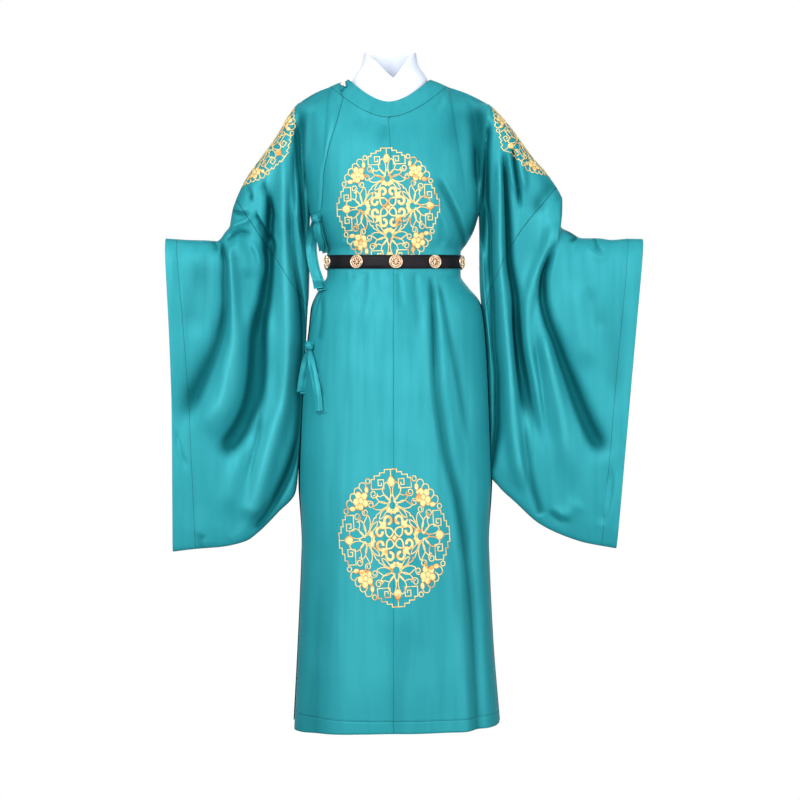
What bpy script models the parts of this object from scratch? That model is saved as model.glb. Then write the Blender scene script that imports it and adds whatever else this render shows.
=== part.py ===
"""A round-collared hanfu robe, worn and hollow, with wide sleeves, crossed inner collar and plaqued belt.

The origin is the middle of the neck, level with the points where collar and shoulders meet. +Z is up,
-Y is the front and +X is the wearer's left. Design sizes are in millimetres; MM turns them into metres.
Every cloth piece is a wall of even thickness behind an outer grid of points. The grids come from a few
sections and stations, and the folds are then pushed in or out along Y.
"""

import math

import bpy
import numpy as np

MM = 0.001
WALL = 2.0
SEAM_GAP = 0.3
UNDERARM = -285.0
SIDE_ROUNDNESS = 0.8
LAYER_STEP = 5.0

# ---------------------------------------------------------------- colours: name, colour, roughness, metallic
MATERIALS = {
    "satin": ((0.010, 0.250, 0.270, 1.0), 0.38, 0.0),
    "inner_cotton": ((0.86, 0.90, 0.97, 1.0), 0.75, 0.0),
    "belt_leather": ((0.012, 0.011, 0.012, 1.0), 0.45, 0.0),
    "plaque_gold": ((0.86, 0.68, 0.38, 1.0), 0.32, 1.0),
    "button_pearl": ((0.85, 0.74, 0.66, 1.0), 0.25, 0.3),
}

# ---------------------------------------------------------------- body sections, hem to underarm
SECTION_COLUMNS = ("height", "right", "left", "front", "back", "slit")
SECTIONS = (
    (-1370, 214, 226, 158, 150, 26),
    (-1196, 205, 212, 152, 145, 22),
    (-1000, 197, 201, 145, 140, 18),
    (-772, 189, 193, 138, 134, 12),
    (-640, 181, 188, 132, 130, 7),
    (-532, 170, 181, 126, 126, 2),
    (-470, 165, 175, 119, 121, 0),
    (-440, 157, 158, 111, 113, 0),
    (-416, 143, 143, 104, 104, 0),
    (-368, 143, 143, 104, 104, 0),
    (-346, 158, 157, 113, 111, 0),
    (-320, 171, 171, 121, 116, 0),
    (UNDERARM, 180, 182, 125, 118, 0),
)
ROW_HEIGHTS = (
    -1370, -1290, -1200, -1100, -1000, -900, -800, -710, -630, -565, -510,
    -470, -440, -416, -368, -346, -318, UNDERARM,
)
BELT_MIDDLE = -391.0
BELT_STILL = 26.0
BELT_EASE = 34.0
BACK_FLARE = 8.0
BACK_SLIT_SHARE = 0.6
SIDE_SEWN_FROM = -471.0
EDGE_HOLD = 0.08
TOP_HOLD = 0.12
SHOULDER_BOW = 4.0
HEM_FRONT_RISE = 4.0
HEM_SIDE_DROP = 13.0
HEM_FROM = -1100.0

# ---------------------------------------------------------------- neck: two rings of the standing band
NECK_COLUMNS = ("middle_x", "half_width", "front", "back", "side_z", "front_z", "back_z")
BAND_LOW = (-11.0, 126.0, 88.0, 85.0, -12.0, -91.0, -20.0)
BAND_TOP = (-10.0, 88.0, 68.0, 62.0, 3.4, -55.0, 14.0)
NECK_SHARE = 0.17
NECK_DIP = 1.8
BAND_END_LOW = math.radians(41)
BAND_END_TOP = math.radians(8)
BAND_UNDER_END = math.radians(440)
UNDER_BAND_LOW = math.radians(384)
UNDER_BAND_TOP = math.radians(346)
UNDER_BAND_EASE = math.radians(18)
BAND_STEP = 4.0
BAND_SWELL = 1.5
BAND_LEAN = 0.6

# ---------------------------------------------------------------- sleeves: tube stations, armhole to cuff
STATION_COLUMNS = ("top_x", "top_z", "low_x", "low_z", "arm", "bag", "middle_y", "bow")
SLEEVE_SEAM_STATION = 5
RIGHT_SLEEVE = (
    (-205, -49, -180, UNDERARM, 52, 20, 0, 0),
    (-225, -75, -181, -339, 54, 20, 2, 0),
    (-246, -111, -181, -386, 54, 20, 5, 0),
    (-283, -162, -182, -435, 52, 21, 8, 0),
    (-315, -206, -183, -461, 50, 22, 10, 0),
    (-338, -252, -185, -482, 48, 22, 10, 0),
    (-345, -274, -192, -617, 47, 23, 8, 0),
    (-348, -294, -202, -789, 46, 24, 4, 0),
    (-350, -309, -210, -877, 45, 24, 0, 0),
    (-359, -323, -248, -923, 43, 24, -6, 0),
    (-377, -343, -290, -965, 38, 24, -12, 0),
    (-402, -342, -314, -982, 34, 23, -20, 0),
    (-433, -342, -365, -994, 30, 22, -28, 2),
    (-458, -341, -420, -998, 26, 20, -35, 5),
    (-481, -340, -467, -1003, 22, 19, -42, 6),
)
LEFT_SLEEVE = (
    (203, -51, 182, UNDERARM, 52, 20, 0, 0),
    (229, -76, 183, -339, 54, 20, 2, 0),
    (262, -116, 183, -386, 54, 20, 5, 0),
    (295, -161, 184, -435, 52, 21, 8, -6),
    (324, -193, 187, -474, 50, 22, 10, -16),
    (349, -227, 191, -506, 48, 22, 10, -28),
    (356, -240, 200, -617, 47, 23, 8, -24),
    (360, -253, 205, -746, 46, 24, 4, -12),
    (359, -279, 206, -838, 45, 24, 0, 0),
    (356, -310, 225, -868, 43, 24, -4, 0),
    (376, -324, 262, -903, 40, 24, -9, 0),
    (401, -337, 309, -945, 36, 23, -16, 0),
    (434, -338, 357, -969, 31, 22, -24, 0),
    (463, -342, 406, -985, 28, 21, -31, 0),
    (494, -340, 439, -991, 25, 20, -37, 0),
    (525, -341, 470, -996, 22, 19, -42, 0),
)
ARM_RADIUS = 50.0
UPPER_STEPS = 8
LOWER_STEPS = 26
ARMHOLE_STEPS = 12
STEP_CROWDING = 1.35
SPACING_LINE = 0.6
EDGE_RISE = 2.2
LEAST_DEPTH = 3.0
RIM_ORDER = (0.55, 0.21, 0.81)

# ---------------------------------------------------------------- folds: paths in (x, z), out (+) or in (-)
FOLD_COLUMNS = ("path", "start_width", "end_width", "height", "fade_in", "fade_out")
RIGHT_SLEEVE_FRONT_FOLDS = (
    (
        ((-222, -120), (-226, -221), (-231, -430),
         (-235, -642), (-268, -804), (-318, -990)),
        22, 28, 20, 0.15, 0.02,
    ),
    (
        ((-250, -170), (-255, -318), (-274, -430),
         (-304, -590), (-328, -724), (-401, -780)),
        22, 30, -24, 0.3, 0.15,
    ),
    (
        ((-352, -340), (-338, -450), (-334, -560),
         (-346, -685), (-384, -765), (-430, -780)),
        24, 28, 15, 0.1, 0.2,
    ),
    (((-366, -380), (-376, -480), (-390, -590), (-424, -700)), 24, 28, -12, 0.2, 0.3),
    (((-200, -460), (-202, -640), (-216, -800)), 20, 22, -13, 0.3, 0.2),
)
LEFT_SLEEVE_FRONT_FOLDS = (
    (
        ((208, -120), (216, -230), (222, -400), (235, -544),
         (244, -660), (268, -790), (313, -935)),
        20, 26, 17, 0.15, 0.03,
    ),
    (((236, -150), (248, -270), (260, -380), (276, -540), (304, -707), (345, -850)), 22, 26, -20, 0.2, 0.25),
    (((345, -330), (322, -382), (300, -450), (286, -530), (292, -629), (318, -720)), 22, 26, 14, 0.1, 0.3),
    (((326, -425), (344, -510), (372, -627), (410, -735), (459, -806)), 25, 30, -24, 0.25, 0.15),
    (((372, -400), (398, -530), (430, -680)), 40, 50, 9, 0.3, 0.3),
)
RIGHT_SLEEVE_BACK_FOLDS = (
    (((-220, -115), (-221, -300), (-228, -520), (-252, -760), (-290, -960)), 22, 28, 18, 0.15, 0.03),
    (((-250, -160), (-260, -350), (-284, -560), (-326, -720), (-390, -770)), 22, 30, -21, 0.25, 0.2),
    (((-345, -330), (-334, -460), (-336, -620), (-380, -745)), 24, 28, 14, 0.1, 0.25),
    (((-368, -380), (-380, -520), (-412, -690)), 24, 28, -12, 0.2, 0.3),
)
LEFT_SLEEVE_BACK_FOLDS = (
    (((212, -120), (216, -320), (228, -540), (258, -760), (305, -930)), 22, 28, 18, 0.15, 0.03),
    (((240, -160), (254, -360), (282, -560), (328, -720), (400, -775)), 22, 30, -21, 0.25, 0.2),
    (((350, -320), (324, -440), (326, -610), (378, -740)), 24, 28, 14, 0.1, 0.25),
    (((372, -360), (366, -500), (396, -650), (440, -740)), 24, 28, -14, 0.1, 0.3),
)
FRONT_FOLDS = (
    (
        ((77, -418), (83, -495), (92, -661), (108, -868),
         (130, -980), (150, -1110), (163, -1240), (167, -1400)),
        11, 17, -17, 0.1, 0.0,
    ),
    (((62, -500), (68, -700), (82, -900), (108, -1050), (132, -1250), (138, -1400)), 18, 22, 8, 0.4, 0.0),
    (((106, -440), (118, -600), (144, -806), (160, -920)), 14, 18, 5, 0.3, 0.3),
    (((86, -225), (104, -258), (123, -305), (134, -352)), 14, 13, -8, 0.25, 0.2),
    (((140, -60), (128, -110), (140, -170)), 24, 24, -6, 0.3, 0.4),
    (((-90, -700), (-100, -1000), (-112, -1400)), 40, 50, 6, 0.5, 0.0),
    (((-150, -900), (-158, -1150), (-166, -1400)), 20, 26, -7, 0.5, 0.0),
    (((-128, -200), (-122, -290), (-130, -350)), 16, 15, -6, 0.3, 0.2),
)
BACK_FOLDS = (
    (((-62, -425), (-74, -600), (-92, -900), (-112, -1400)), 16, 26, -16, 0.1, 0.0),
    (((70, -425), (80, -620), (96, -900), (118, -1400)), 16, 26, -16, 0.1, 0.0),
    (((-104, -430), (-122, -700), (-150, -1100), (-160, -1400)), 18, 26, 9, 0.3, 0.0),
    (((112, -430), (130, -700), (156, -1100), (166, -1400)), 18, 26, 9, 0.3, 0.0),
    (((22, -425), (28, -640), (36, -960)), 16, 22, -6, 0.2, 0.4),
    (((-130, -150), (-112, -240), (-96, -345)), 18, 15, -8, 0.3, 0.2),
    (((134, -140), (118, -240), (98, -345)), 18, 15, -8, 0.3, 0.2),
)

# ---------------------------------------------------------------- overlap edge on the wearer's right
OVERLAP_COLUMNS = ("height", "x")
OVERLAP_EDGE = (
    (-520, -169),
    (-470, -158),
    (-416, -137),
    (-372, -137),
    (-346, -151),
    (-313, -157),
    (-266, -151),
    (-206, -147),
    (-170, -140),
    (-137, -132),
    (-108, -122),
    (-38, -106),
)
LEFT_FRONT_SHARES = (
    0.5, 0.55, 0.6, 0.635, 0.66, 0.685, 0.71, 0.735, 0.76, 0.785, 0.81,
    1 - NECK_SHARE, 0.88, 0.94, 1.0,
)
BACK_SHARES = (0.0, 0.055, 0.11, NECK_SHARE, 0.22, 0.275, 0.33, 0.385, 0.44, 0.5)
OVERLAP_STEPS = 9
OVERLAP_SIDE_SHARE = 0.02
OVERLAP_SIDE_FROM = -520.0
UNDERLAP_SHARE = 0.62
HIDDEN_NECK_DROP = 0.4
HIDDEN_STEPS = 6
HIDDEN_BEFORE = 0.01
SINK_BEFORE = 0.07
SINK_EASE = 0.055

# ---------------------------------------------------------------- belt
BELT_WIDTH = 28.5
BELT_THICK = 3.0
BELT_CLEAR = 1.4
BELT_STEPS = 56
BELT_FRONT_DROOP = 7.0
BELT_LAP = math.radians(14)
BELT_LAP_CLEAR = 0.8
PLAQUE_RADIUS = 14.0
PLAQUE_THICK = 4.0
PLAQUE_SPACING = 83.0
PLAQUE_COUNT = 9
PLAQUE_FIRST_SHIFT = 4.5
PLAQUE_CLEAR = 0.6
INNER_THICK = 1.8

# ---------------------------------------------------------------- inner crossed collar
INNER_COLUMNS = ("height", "half_width", "front", "back")
INNER_SECTIONS = (
    (-64, 90, 60, 60),
    (-30, 87, 57, 56),
    (0, 82, 55, 53),
    (12, 76, 54, 51),
    (36, 61, 50, 46),
    (64, 56, 47, 43),
)
INNER_MIDDLE_X = -9.0
INNER_EDGE_COLUMNS = ("angle", "top", "step")
INNER_EDGE = (
    (130, -40, 5.0),
    (110, -16, 5.0),
    (94, 0, 5.0),
    (69, 28, 4.5),
    (28, 54, 3.0),
    (0, 62, 1.5),
    (-90, 64, 0.0),
    (-180, 62, 0.0),
    (-205, 57, 0.0),
    (-244, 27, 0.0),
    (-266, -4, 0.0),
    (-290, -28, 0.0),
    (-312, -50, 0.0),
)
INNER_LOW = -62.0
INNER_STEPS = 40
INNER_ROWS = 5

# ---------------------------------------------------------------- ties: ribbons down the right side
TIE_WIDTH = 20.0
TIE_THICK = 1.2
TIE_ROUTE_COLUMNS = ("x", "clear", "height")
TIE_ROUTES = {
    "tie_upper_short": ((-165, 14, -309), (-162, 17, -330), (-156, 18, -350), (-153, 17, -364)),
    "tie_upper_long": ((-173, 10, -309), (-176, 8, -350), (-172, 10, -400), (-158, 8, -446)),
    "tie_lower_short": ((-183, 9, -578), (-187, 9, -610), (-191, 10, -640), (-194, 11, -662)),
    "tie_lower_long": ((-176, 9, -578), (-170, 8, -620), (-159, 6, -668), (-155, 6, -704)),
}
TIE_TURNS = {
    "tie_upper_short": (-0.1, -0.5),
    "tie_upper_long": (0.3, -0.2),
    "tie_lower_short": (0.3, 0.1),
    "tie_lower_long": (-0.2, -0.5),
}
TIE_KNOTS = {"tie_upper_knot": (-168, 9, -299), "tie_lower_knot": (-179, 9, -567)}
TIE_INSIDE = 12.0
KNOT_SIZE = (10.0, 7.0, 9.0)
BUTTON_RADIUS = 5.5
BUTTON_CLEAR = 0.8
BUTTON_INSET = 0.35
LOOP_RADIUS = 8.0
LOOP_CORD = 1.3
LOOP_CLEAR = 2.2


# ================================================================ shared sums


def column(columns, rows, name):
    """One named column of a table, as an array."""
    return np.array([row[columns.index(name)] for row in rows], float)


def smooth_read(known_at, values, at):
    """A monotone cubic through the known values, so that a smooth run never swings past them."""
    known_at, values, at = (np.asarray(item, float) for item in (known_at, values, at))
    gaps = np.diff(known_at)
    rises = np.diff(values) / gaps
    slopes = np.empty_like(values)
    slopes[0], slopes[-1] = rises[0], rises[-1]
    for i in range(1, len(values) - 1):
        if rises[i - 1] * rises[i] <= 0:
            slopes[i] = 0
        else:
            first = 2 * gaps[i] + gaps[i - 1]
            second = gaps[i] + 2 * gaps[i - 1]
            slopes[i] = (first + second) / (first / rises[i - 1] + second / rises[i])
    place = np.clip(np.searchsorted(known_at, at) - 1, 0, len(gaps) - 1)
    t = np.clip((at - known_at[place]) / gaps[place], 0, 1)
    return (
        values[place] * (1 + 2 * t) * (1 - t) ** 2
        + slopes[place] * gaps[place] * t * (1 - t) ** 2
        + values[place + 1] * (3 - 2 * t) * t**2
        - slopes[place + 1] * gaps[place] * (1 - t) * t**2
    )


def ease(value):
    """0 below 0, 1 above 1, and a smooth step between."""
    value = np.clip(value, 0, 1)
    return value * value * (3 - 2 * value)


def smooth_path(points, steps=5):
    """A fold's path as a fine run of points through its own few."""
    points = np.array(points, float)
    lengths = np.concatenate([[0], np.cumsum(np.linalg.norm(np.diff(points, axis=0), axis=1))])
    at = np.linspace(0, lengths[-1], steps * (len(points) - 1) + 1)
    return np.stack([smooth_read(lengths, points[:, axis], at) for axis in range(2)], axis=1)


def fold_push(folds, x, z):
    """How far the folds push a layer out at each (x, z), in mm. Negative is inwards."""
    place = np.stack([x, z], axis=-1)
    push = np.zeros(np.shape(x))
    for row in folds:
        fold = dict(zip(FOLD_COLUMNS, row))
        route = smooth_path(fold["path"])
        run = np.concatenate([[0], np.cumsum(np.linalg.norm(np.diff(route, axis=0), axis=1))])
        nearest = np.full(np.shape(x), np.inf)
        along = np.zeros(np.shape(x))
        for start, end, before, after in zip(route[:-1], route[1:], run[:-1], run[1:]):
            step = end - start
            t = np.clip(((place - start) @ step) / (step @ step), 0, 1)
            apart = np.linalg.norm(place - start - t[..., None] * step, axis=-1)
            closer = apart < nearest
            nearest = np.where(closer, apart, nearest)
            along = np.where(closer, before + t * (after - before), along)
        share = along / run[-1]
        width = fold["start_width"] + (fold["end_width"] - fold["start_width"]) * share
        strength = np.ones(np.shape(x))
        if fold["fade_in"] > 0:
            strength = strength * ease(share / fold["fade_in"])
        if fold["fade_out"] > 0:
            strength = strength * ease((1 - share) / fold["fade_out"])
        push += fold["height"] * strength * np.exp(-((nearest / width) ** 2))
    return push


# ================================================================ body


def ring_sides(height):
    heights = column(SECTION_COLUMNS, SECTIONS, "height")
    names = SECTION_COLUMNS[1:]
    return {
        name: smooth_read(heights, column(SECTION_COLUMNS, SECTIONS, name), height)
        for name in names
    }


def belt_calm(height):
    """0 where the belt holds the cloth flat, 1 away from it."""
    return ease((np.abs(height - BELT_MIDDLE) - BELT_STILL) / BELT_EASE)


def body_ring(share, height, back):
    """Points of the front or back half ring at one height. share runs 0 to 1, wearer's right to left."""
    size = ring_sides(height)
    depth = size["back"] if back else size["front"]
    edge_depth = size["slit"] * (BACK_SLIT_SHARE if back else 1.0) + SEAM_GAP / 2
    first = np.arcsin((edge_depth / depth) ** (1 / SIDE_ROUNDNESS))
    angle = first + (math.pi - 2 * first) * share
    extra = BACK_FLARE * size["slit"] / SECTIONS[0][-1] if back else 0.0
    right, left = size["right"] + extra, size["left"] + extra
    half = right + (left - right) * (1 - np.cos(angle)) / 2
    x = -half * np.cos(angle)
    y = depth * np.sin(angle) ** SIDE_ROUNDNESS
    if back:
        return x, y, height + 0 * x
    hem = ease((HEM_FROM - height) / (HEM_FROM - SECTIONS[0][0]))
    right_side = np.clip(np.cos(angle), 0, 1) ** 2
    return x, -y, height + hem * (HEM_FRONT_RISE - HEM_SIDE_DROP * right_side)


def neck_ring(ring, angle):
    """A point on one ring of the standing band. Angle 0 is the wearer's right, 90 degrees is the front."""
    size = dict(zip(NECK_COLUMNS, ring))
    dip = 1 - np.abs(np.cos(angle)) ** NECK_DIP
    ahead = np.sin(angle) > 0
    x = size["middle_x"] - size["half_width"] * np.cos(angle)
    y = -np.sin(angle) * np.where(ahead, size["front"], size["back"])
    z = size["side_z"] + dip * (np.where(ahead, size["front_z"], size["back_z"]) - size["side_z"])
    return np.stack([x, y, z], axis=-1)


def top_edge(share, back):
    """The shoulder line and the neckline: where the front or back half ends at its top."""
    share = np.asarray(share, float)
    sign = -1.0 if back else 1.0
    right_tip = np.array([RIGHT_SLEEVE[0][0], 0.0, RIGHT_SLEEVE[0][1]])
    left_tip = np.array([LEFT_SLEEVE[0][0], 0.0, LEFT_SLEEVE[0][1]])
    angle = np.clip(neck_angle(share), 0, math.pi)
    neck = neck_ring(BAND_LOW, sign * angle)
    right_part = np.clip(share / NECK_SHARE, 0, 1)[..., None]
    left_part = np.clip((1 - share) / NECK_SHARE, 0, 1)[..., None]
    bow = np.array([0.0, 0.0, SHOULDER_BOW])
    right_line = right_tip + (neck - right_tip) * right_part + bow * np.sin(math.pi * right_part)
    left_line = left_tip + (neck - left_tip) * left_part + bow * np.sin(math.pi * left_part)
    points = np.where((share < NECK_SHARE)[..., None], right_line, neck)
    return np.where((share > 1 - NECK_SHARE)[..., None], left_line, points)


def sleeve_size(table, station):
    """Every column of the station table, read smoothly at these station numbers."""
    numbers = np.arange(len(table))
    return {
        name: smooth_read(numbers, column(STATION_COLUMNS, table, name), station)
        for name in STATION_COLUMNS
    }


def sleeve_points(table, folds, station, down, back):
    """Points of one layer of a sleeve. down runs 0 to 1 from the top fold to the low seam."""
    size = sleeve_size(table, station)
    x = size["top_x"] + (size["low_x"] - size["top_x"]) * down
    x = x + size["bow"] * np.sin(math.pi * down)
    z = size["top_z"] + (size["low_z"] - size["top_z"]) * down
    length = np.hypot(size["low_x"] - size["top_x"], size["low_z"] - size["top_z"])
    reach = down * length / ARM_RADIUS
    arm = np.sqrt(reach) * np.exp((1 - reach) / 2) * np.sqrt(1 - down**6)
    bag = np.sin(math.pi * down) ** 0.5
    edge = np.clip(np.sin(math.pi * down) * EDGE_RISE, 0, 1)
    push = fold_push(folds, x, z) * edge
    depth = size["arm"] * arm + size["bag"] * bag + push
    depth = np.maximum(depth, LEAST_DEPTH * edge)
    y = size["middle_y"] + (depth if back else -depth)
    return np.stack([x, y, z], axis=-1)


def steps_down(count):
    """Shares of the way down a sleeve, closer together near the arm."""
    return (np.arange(count + 1) / count) ** STEP_CROWDING


def upper_body(share, rise, back):
    """The chest or shoulder blades, between the underarm ring and the top edge."""
    low = np.stack(body_ring(share, np.full(np.shape(share), UNDERARM), back), axis=-1)
    top = top_edge(share, back)
    flat = low + (top - low) * rise[..., None]
    at_neck = np.sin(np.clip(neck_angle(share), 0, math.pi))
    round_off = np.clip(1 - rise**3, 0, 1) ** (0.5 + 0.4 * at_neck)
    points = flat.copy()
    points[..., 1] = top[..., 1] + (low[..., 1] - top[..., 1]) * round_off
    for table, folds, near in (
        (RIGHT_SLEEVE, RIGHT_SLEEVE_BACK_FOLDS if back else RIGHT_SLEEVE_FRONT_FOLDS, share),
        (LEFT_SLEEVE, LEFT_SLEEVE_BACK_FOLDS if back else LEFT_SLEEVE_FRONT_FOLDS, 1 - share),
    ):
        armhole = sleeve_points(table, folds, np.zeros(np.shape(share)), 1 - rise, back)
        corner_low = np.array([table[0][2], 0.0, table[0][3]])
        corner_top = np.array([table[0][0], 0.0, table[0][1]])
        straight = corner_low + (corner_top - corner_low) * rise[..., None]
        pull = np.clip(1 - 2 * near, 0, 1) ** 2
        points = points + (armhole - straight) * pull[..., None]
    return points


def body_points(share, row, back):
    """One half of the body. row counts ROW_HEIGHTS from the hem, then the steps up the armhole."""
    share, row = np.broadcast_arrays(np.asarray(share, float), np.asarray(row, float))
    base_rows = len(ROW_HEIGHTS) - 1
    height = np.interp(row, np.arange(base_rows + 1), ROW_HEIGHTS)
    lower = np.stack(body_ring(share, height, back), axis=-1)
    rise_at = 1 - steps_down(ARMHOLE_STEPS)[::-1]
    rise = np.interp(row - base_rows, np.arange(ARMHOLE_STEPS + 1), rise_at)
    upper = upper_body(share, rise, back)
    points = np.where((row <= base_rows)[..., None], lower, upper)
    folds = BACK_FOLDS if back else FRONT_FOLDS
    hold = ease(share / EDGE_HOLD) * ease((1 - share) / EDGE_HOLD) * belt_calm(points[..., 2])
    hold = hold * ease((1 - rise) / TOP_HOLD)
    push = fold_push(folds, points[..., 0], points[..., 2]) * hold
    points[..., 1] += push if back else -push
    return points


# ================================================================ walls


def grid_normals(points, around=False):
    """Unit normals of a grid of points, one for each."""
    if around:
        along = np.roll(points, -1, axis=1) - np.roll(points, 1, axis=1)
    else:
        along = np.gradient(points, axis=1)
    up = np.gradient(points, axis=0)
    normal = np.cross(along, up)
    return normal / np.maximum(np.linalg.norm(normal, axis=-1, keepdims=True), 1e-9)


def unit(vectors):
    return vectors / np.maximum(np.linalg.norm(vectors, axis=-1, keepdims=True), 1e-9)


def make_object(name, vertices, faces, material_name, smooth=True):
    mesh = bpy.data.meshes.new(name)
    mesh.from_pydata((np.asarray(vertices) * MM).tolist(), [], faces)
    mesh.update()
    if smooth:
        mesh.shade_smooth()
        mesh.set_sharp_from_angle(angle=math.radians(50))
    mesh.materials.append(MATERIAL_BLOCKS[material_name])
    obj = bpy.data.objects.new(name, mesh)
    bpy.context.scene.collection.objects.link(obj)
    return obj


def enclosed_volume(vertices, faces):
    total = 0.0
    for face in faces:
        first = vertices[face[0]]
        for second, third in zip(face[1:-1], face[2:]):
            total += np.dot(first, np.cross(vertices[second], vertices[third]))
    return total / 6


def wall(name, outer, normals, material_name, around=False, thick=WALL):
    """A closed wall behind a grid of outer points; around joins the last column to the first."""
    rows, columns = outer.shape[:2]
    inner = outer - normals * thick
    vertices = np.concatenate([outer.reshape(-1, 3), inner.reshape(-1, 3)])
    shift = rows * columns
    index = np.arange(shift).reshape(rows, columns)
    spans = columns if around else columns - 1
    faces = []
    for row in range(rows - 1):
        for place in range(spans):
            after = (place + 1) % columns
            corners = [index[row, place], index[row, after], index[row + 1, after], index[row + 1, place]]
            first = np.linalg.norm(vertices[corners[0]] - vertices[corners[2]])
            second = np.linalg.norm(vertices[corners[1]] - vertices[corners[3]])
            if second < first:
                corners = corners[1:] + corners[:1]
            a, b, c, d = corners
            faces += [(a, b, c), (a, c, d)]
            faces += [(c + shift, b + shift, a + shift), (d + shift, c + shift, a + shift)]
    rims = [(index[0, p], index[0, (p + 1) % columns]) for p in range(spans)]
    rims += [(index[-1, (p + 1) % columns], index[-1, p]) for p in range(spans)]
    if not around:
        rims += [(index[r + 1, 0], index[r, 0]) for r in range(rows - 1)]
        rims += [(index[r, -1], index[r + 1, -1]) for r in range(rows - 1)]
    # Rims that face each other across a seam are split along the same diagonal.
    order = vertices @ RIM_ORDER
    for a, b in rims:
        if order[a] > order[b]:
            faces += [(b, a, b + shift), (a, a + shift, b + shift)]
        else:
            faces += [(b, a, a + shift), (b, a + shift, b + shift)]
    faces = [tuple(int(i) for i in face) for face in faces]
    if enclosed_volume(vertices, faces) < 0:
        faces = [face[::-1] for face in faces]
    return make_object(name, vertices, faces, material_name)


def seam_ring(points, normals, away, gap=SEAM_GAP / 2, closed=False):
    """Moves a seam's points back from the seam, across it and within the cloth. away gives the side."""
    if closed:
        tangent = np.roll(points, -1, axis=0) - np.roll(points, 1, axis=0)
    else:
        tangent = np.gradient(points, axis=0)
    across = unit(np.cross(normals, unit(tangent)))
    side = np.sign(np.sum(across * away, axis=-1, keepdims=True))
    return points + across * side * gap


def body_normals(share, row, back):
    """Outward unit normals of a half body, from points a little to each side."""
    nudge = 0.004
    right = body_points(np.clip(share - nudge, 0, 1), row, back)
    left = body_points(np.clip(share + nudge, 0, 1), row, back)
    last = len(ROW_HEIGHTS) - 1 + ARMHOLE_STEPS
    low = body_points(share, np.clip(row - 0.2, 0, last), back)
    high = body_points(share, np.clip(row + 0.2, 0, last), back)
    normal = unit(np.cross(left - right, high - low))
    return -normal if back else normal


# ================================================================ building the pieces


def sleeve_grid(table, folds_front, folds_back, mirrored):
    """Outer points and normals of a whole sleeve, and the row of the seam between its two tubes."""
    fine = np.linspace(0, len(table) - 1, 400)
    size = sleeve_size(table, fine)
    middle = np.stack([
        size["top_" + axis] + (size["low_" + axis] - size["top_" + axis]) * SPACING_LINE for axis in "xz"
    ], axis=1)
    run = np.concatenate([[0], np.cumsum(np.linalg.norm(np.diff(middle, axis=0), axis=1))])
    seam_run = np.interp(SLEEVE_SEAM_STATION, fine, run)
    stops = np.concatenate([
        np.linspace(0, seam_run, UPPER_STEPS + 1),
        np.linspace(seam_run, run[-1], LOWER_STEPS + 1)[1:],
    ])
    stations = np.interp(stops, run, fine)
    down = steps_down(ARMHOLE_STEPS)
    station_grid, down_grid = np.meshgrid(stations, down, indexing="ij")
    front = sleeve_points(table, folds_front, station_grid, down_grid, False)
    behind = sleeve_points(table, folds_back, station_grid, down_grid, True)
    ring = np.concatenate([front, behind[:, -2:0:-1]], axis=1)
    normals = grid_normals(ring, around=True)
    return ring, -normals if mirrored else normals


def build_sleeve(side, table, folds_front, folds_back, mirrored):
    ring, normals = sleeve_grid(table, folds_front, folds_back, mirrored)
    share = 0.0 if mirrored else 1.0
    rows = len(ROW_HEIGHTS) - 1 + np.arange(ARMHOLE_STEPS, -1, -1.0)
    front_body = body_normals(share, rows, False)
    back_body = body_normals(share, rows, True)
    body_side = np.concatenate([front_body, back_body[-2:0:-1]])
    normals[0] = unit(normals[0] + body_side)
    outwards = np.array([-1.0 if mirrored else 1.0, 0.0, 0.0])
    ARMHOLES[side] = (ring[0].copy(), normals[0].copy())
    seam = UPPER_STEPS
    upper, lower = ring[: seam + 1].copy(), ring[seam:].copy()
    upper[0] = seam_ring(upper[0], normals[0], outwards, closed=True)
    towards = lower[1] - lower[0]
    upper[-1] = seam_ring(upper[-1], normals[seam], -towards, closed=True)
    lower[0] = seam_ring(lower[0], normals[seam], towards, closed=True)
    wall("sleeve_" + side + "_upper", upper, normals[: seam + 1], "satin", around=True)
    wall("sleeve_" + side + "_lower", lower, normals[seam:], "satin", around=True)


def overlap_edge_share(rows):
    """The share at which the overlap's free edge crosses each row."""
    trial = np.linspace(0, 0.5, 301)
    heights = column(OVERLAP_COLUMNS, OVERLAP_EDGE, "height")
    wanted = column(OVERLAP_COLUMNS, OVERLAP_EDGE, "x")
    shares = []
    for row in rows:
        points = body_points(trial, np.full(trial.shape, row), False)
        target = smooth_read(heights, wanted, points[:, 2])
        beyond = points[:, 0] - target
        share = np.interp(0, beyond, trial)
        if points[0, 2] < OVERLAP_SIDE_FROM:
            share = OVERLAP_SIDE_SHARE
        shares.append(share)
    return np.array(shares)


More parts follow.
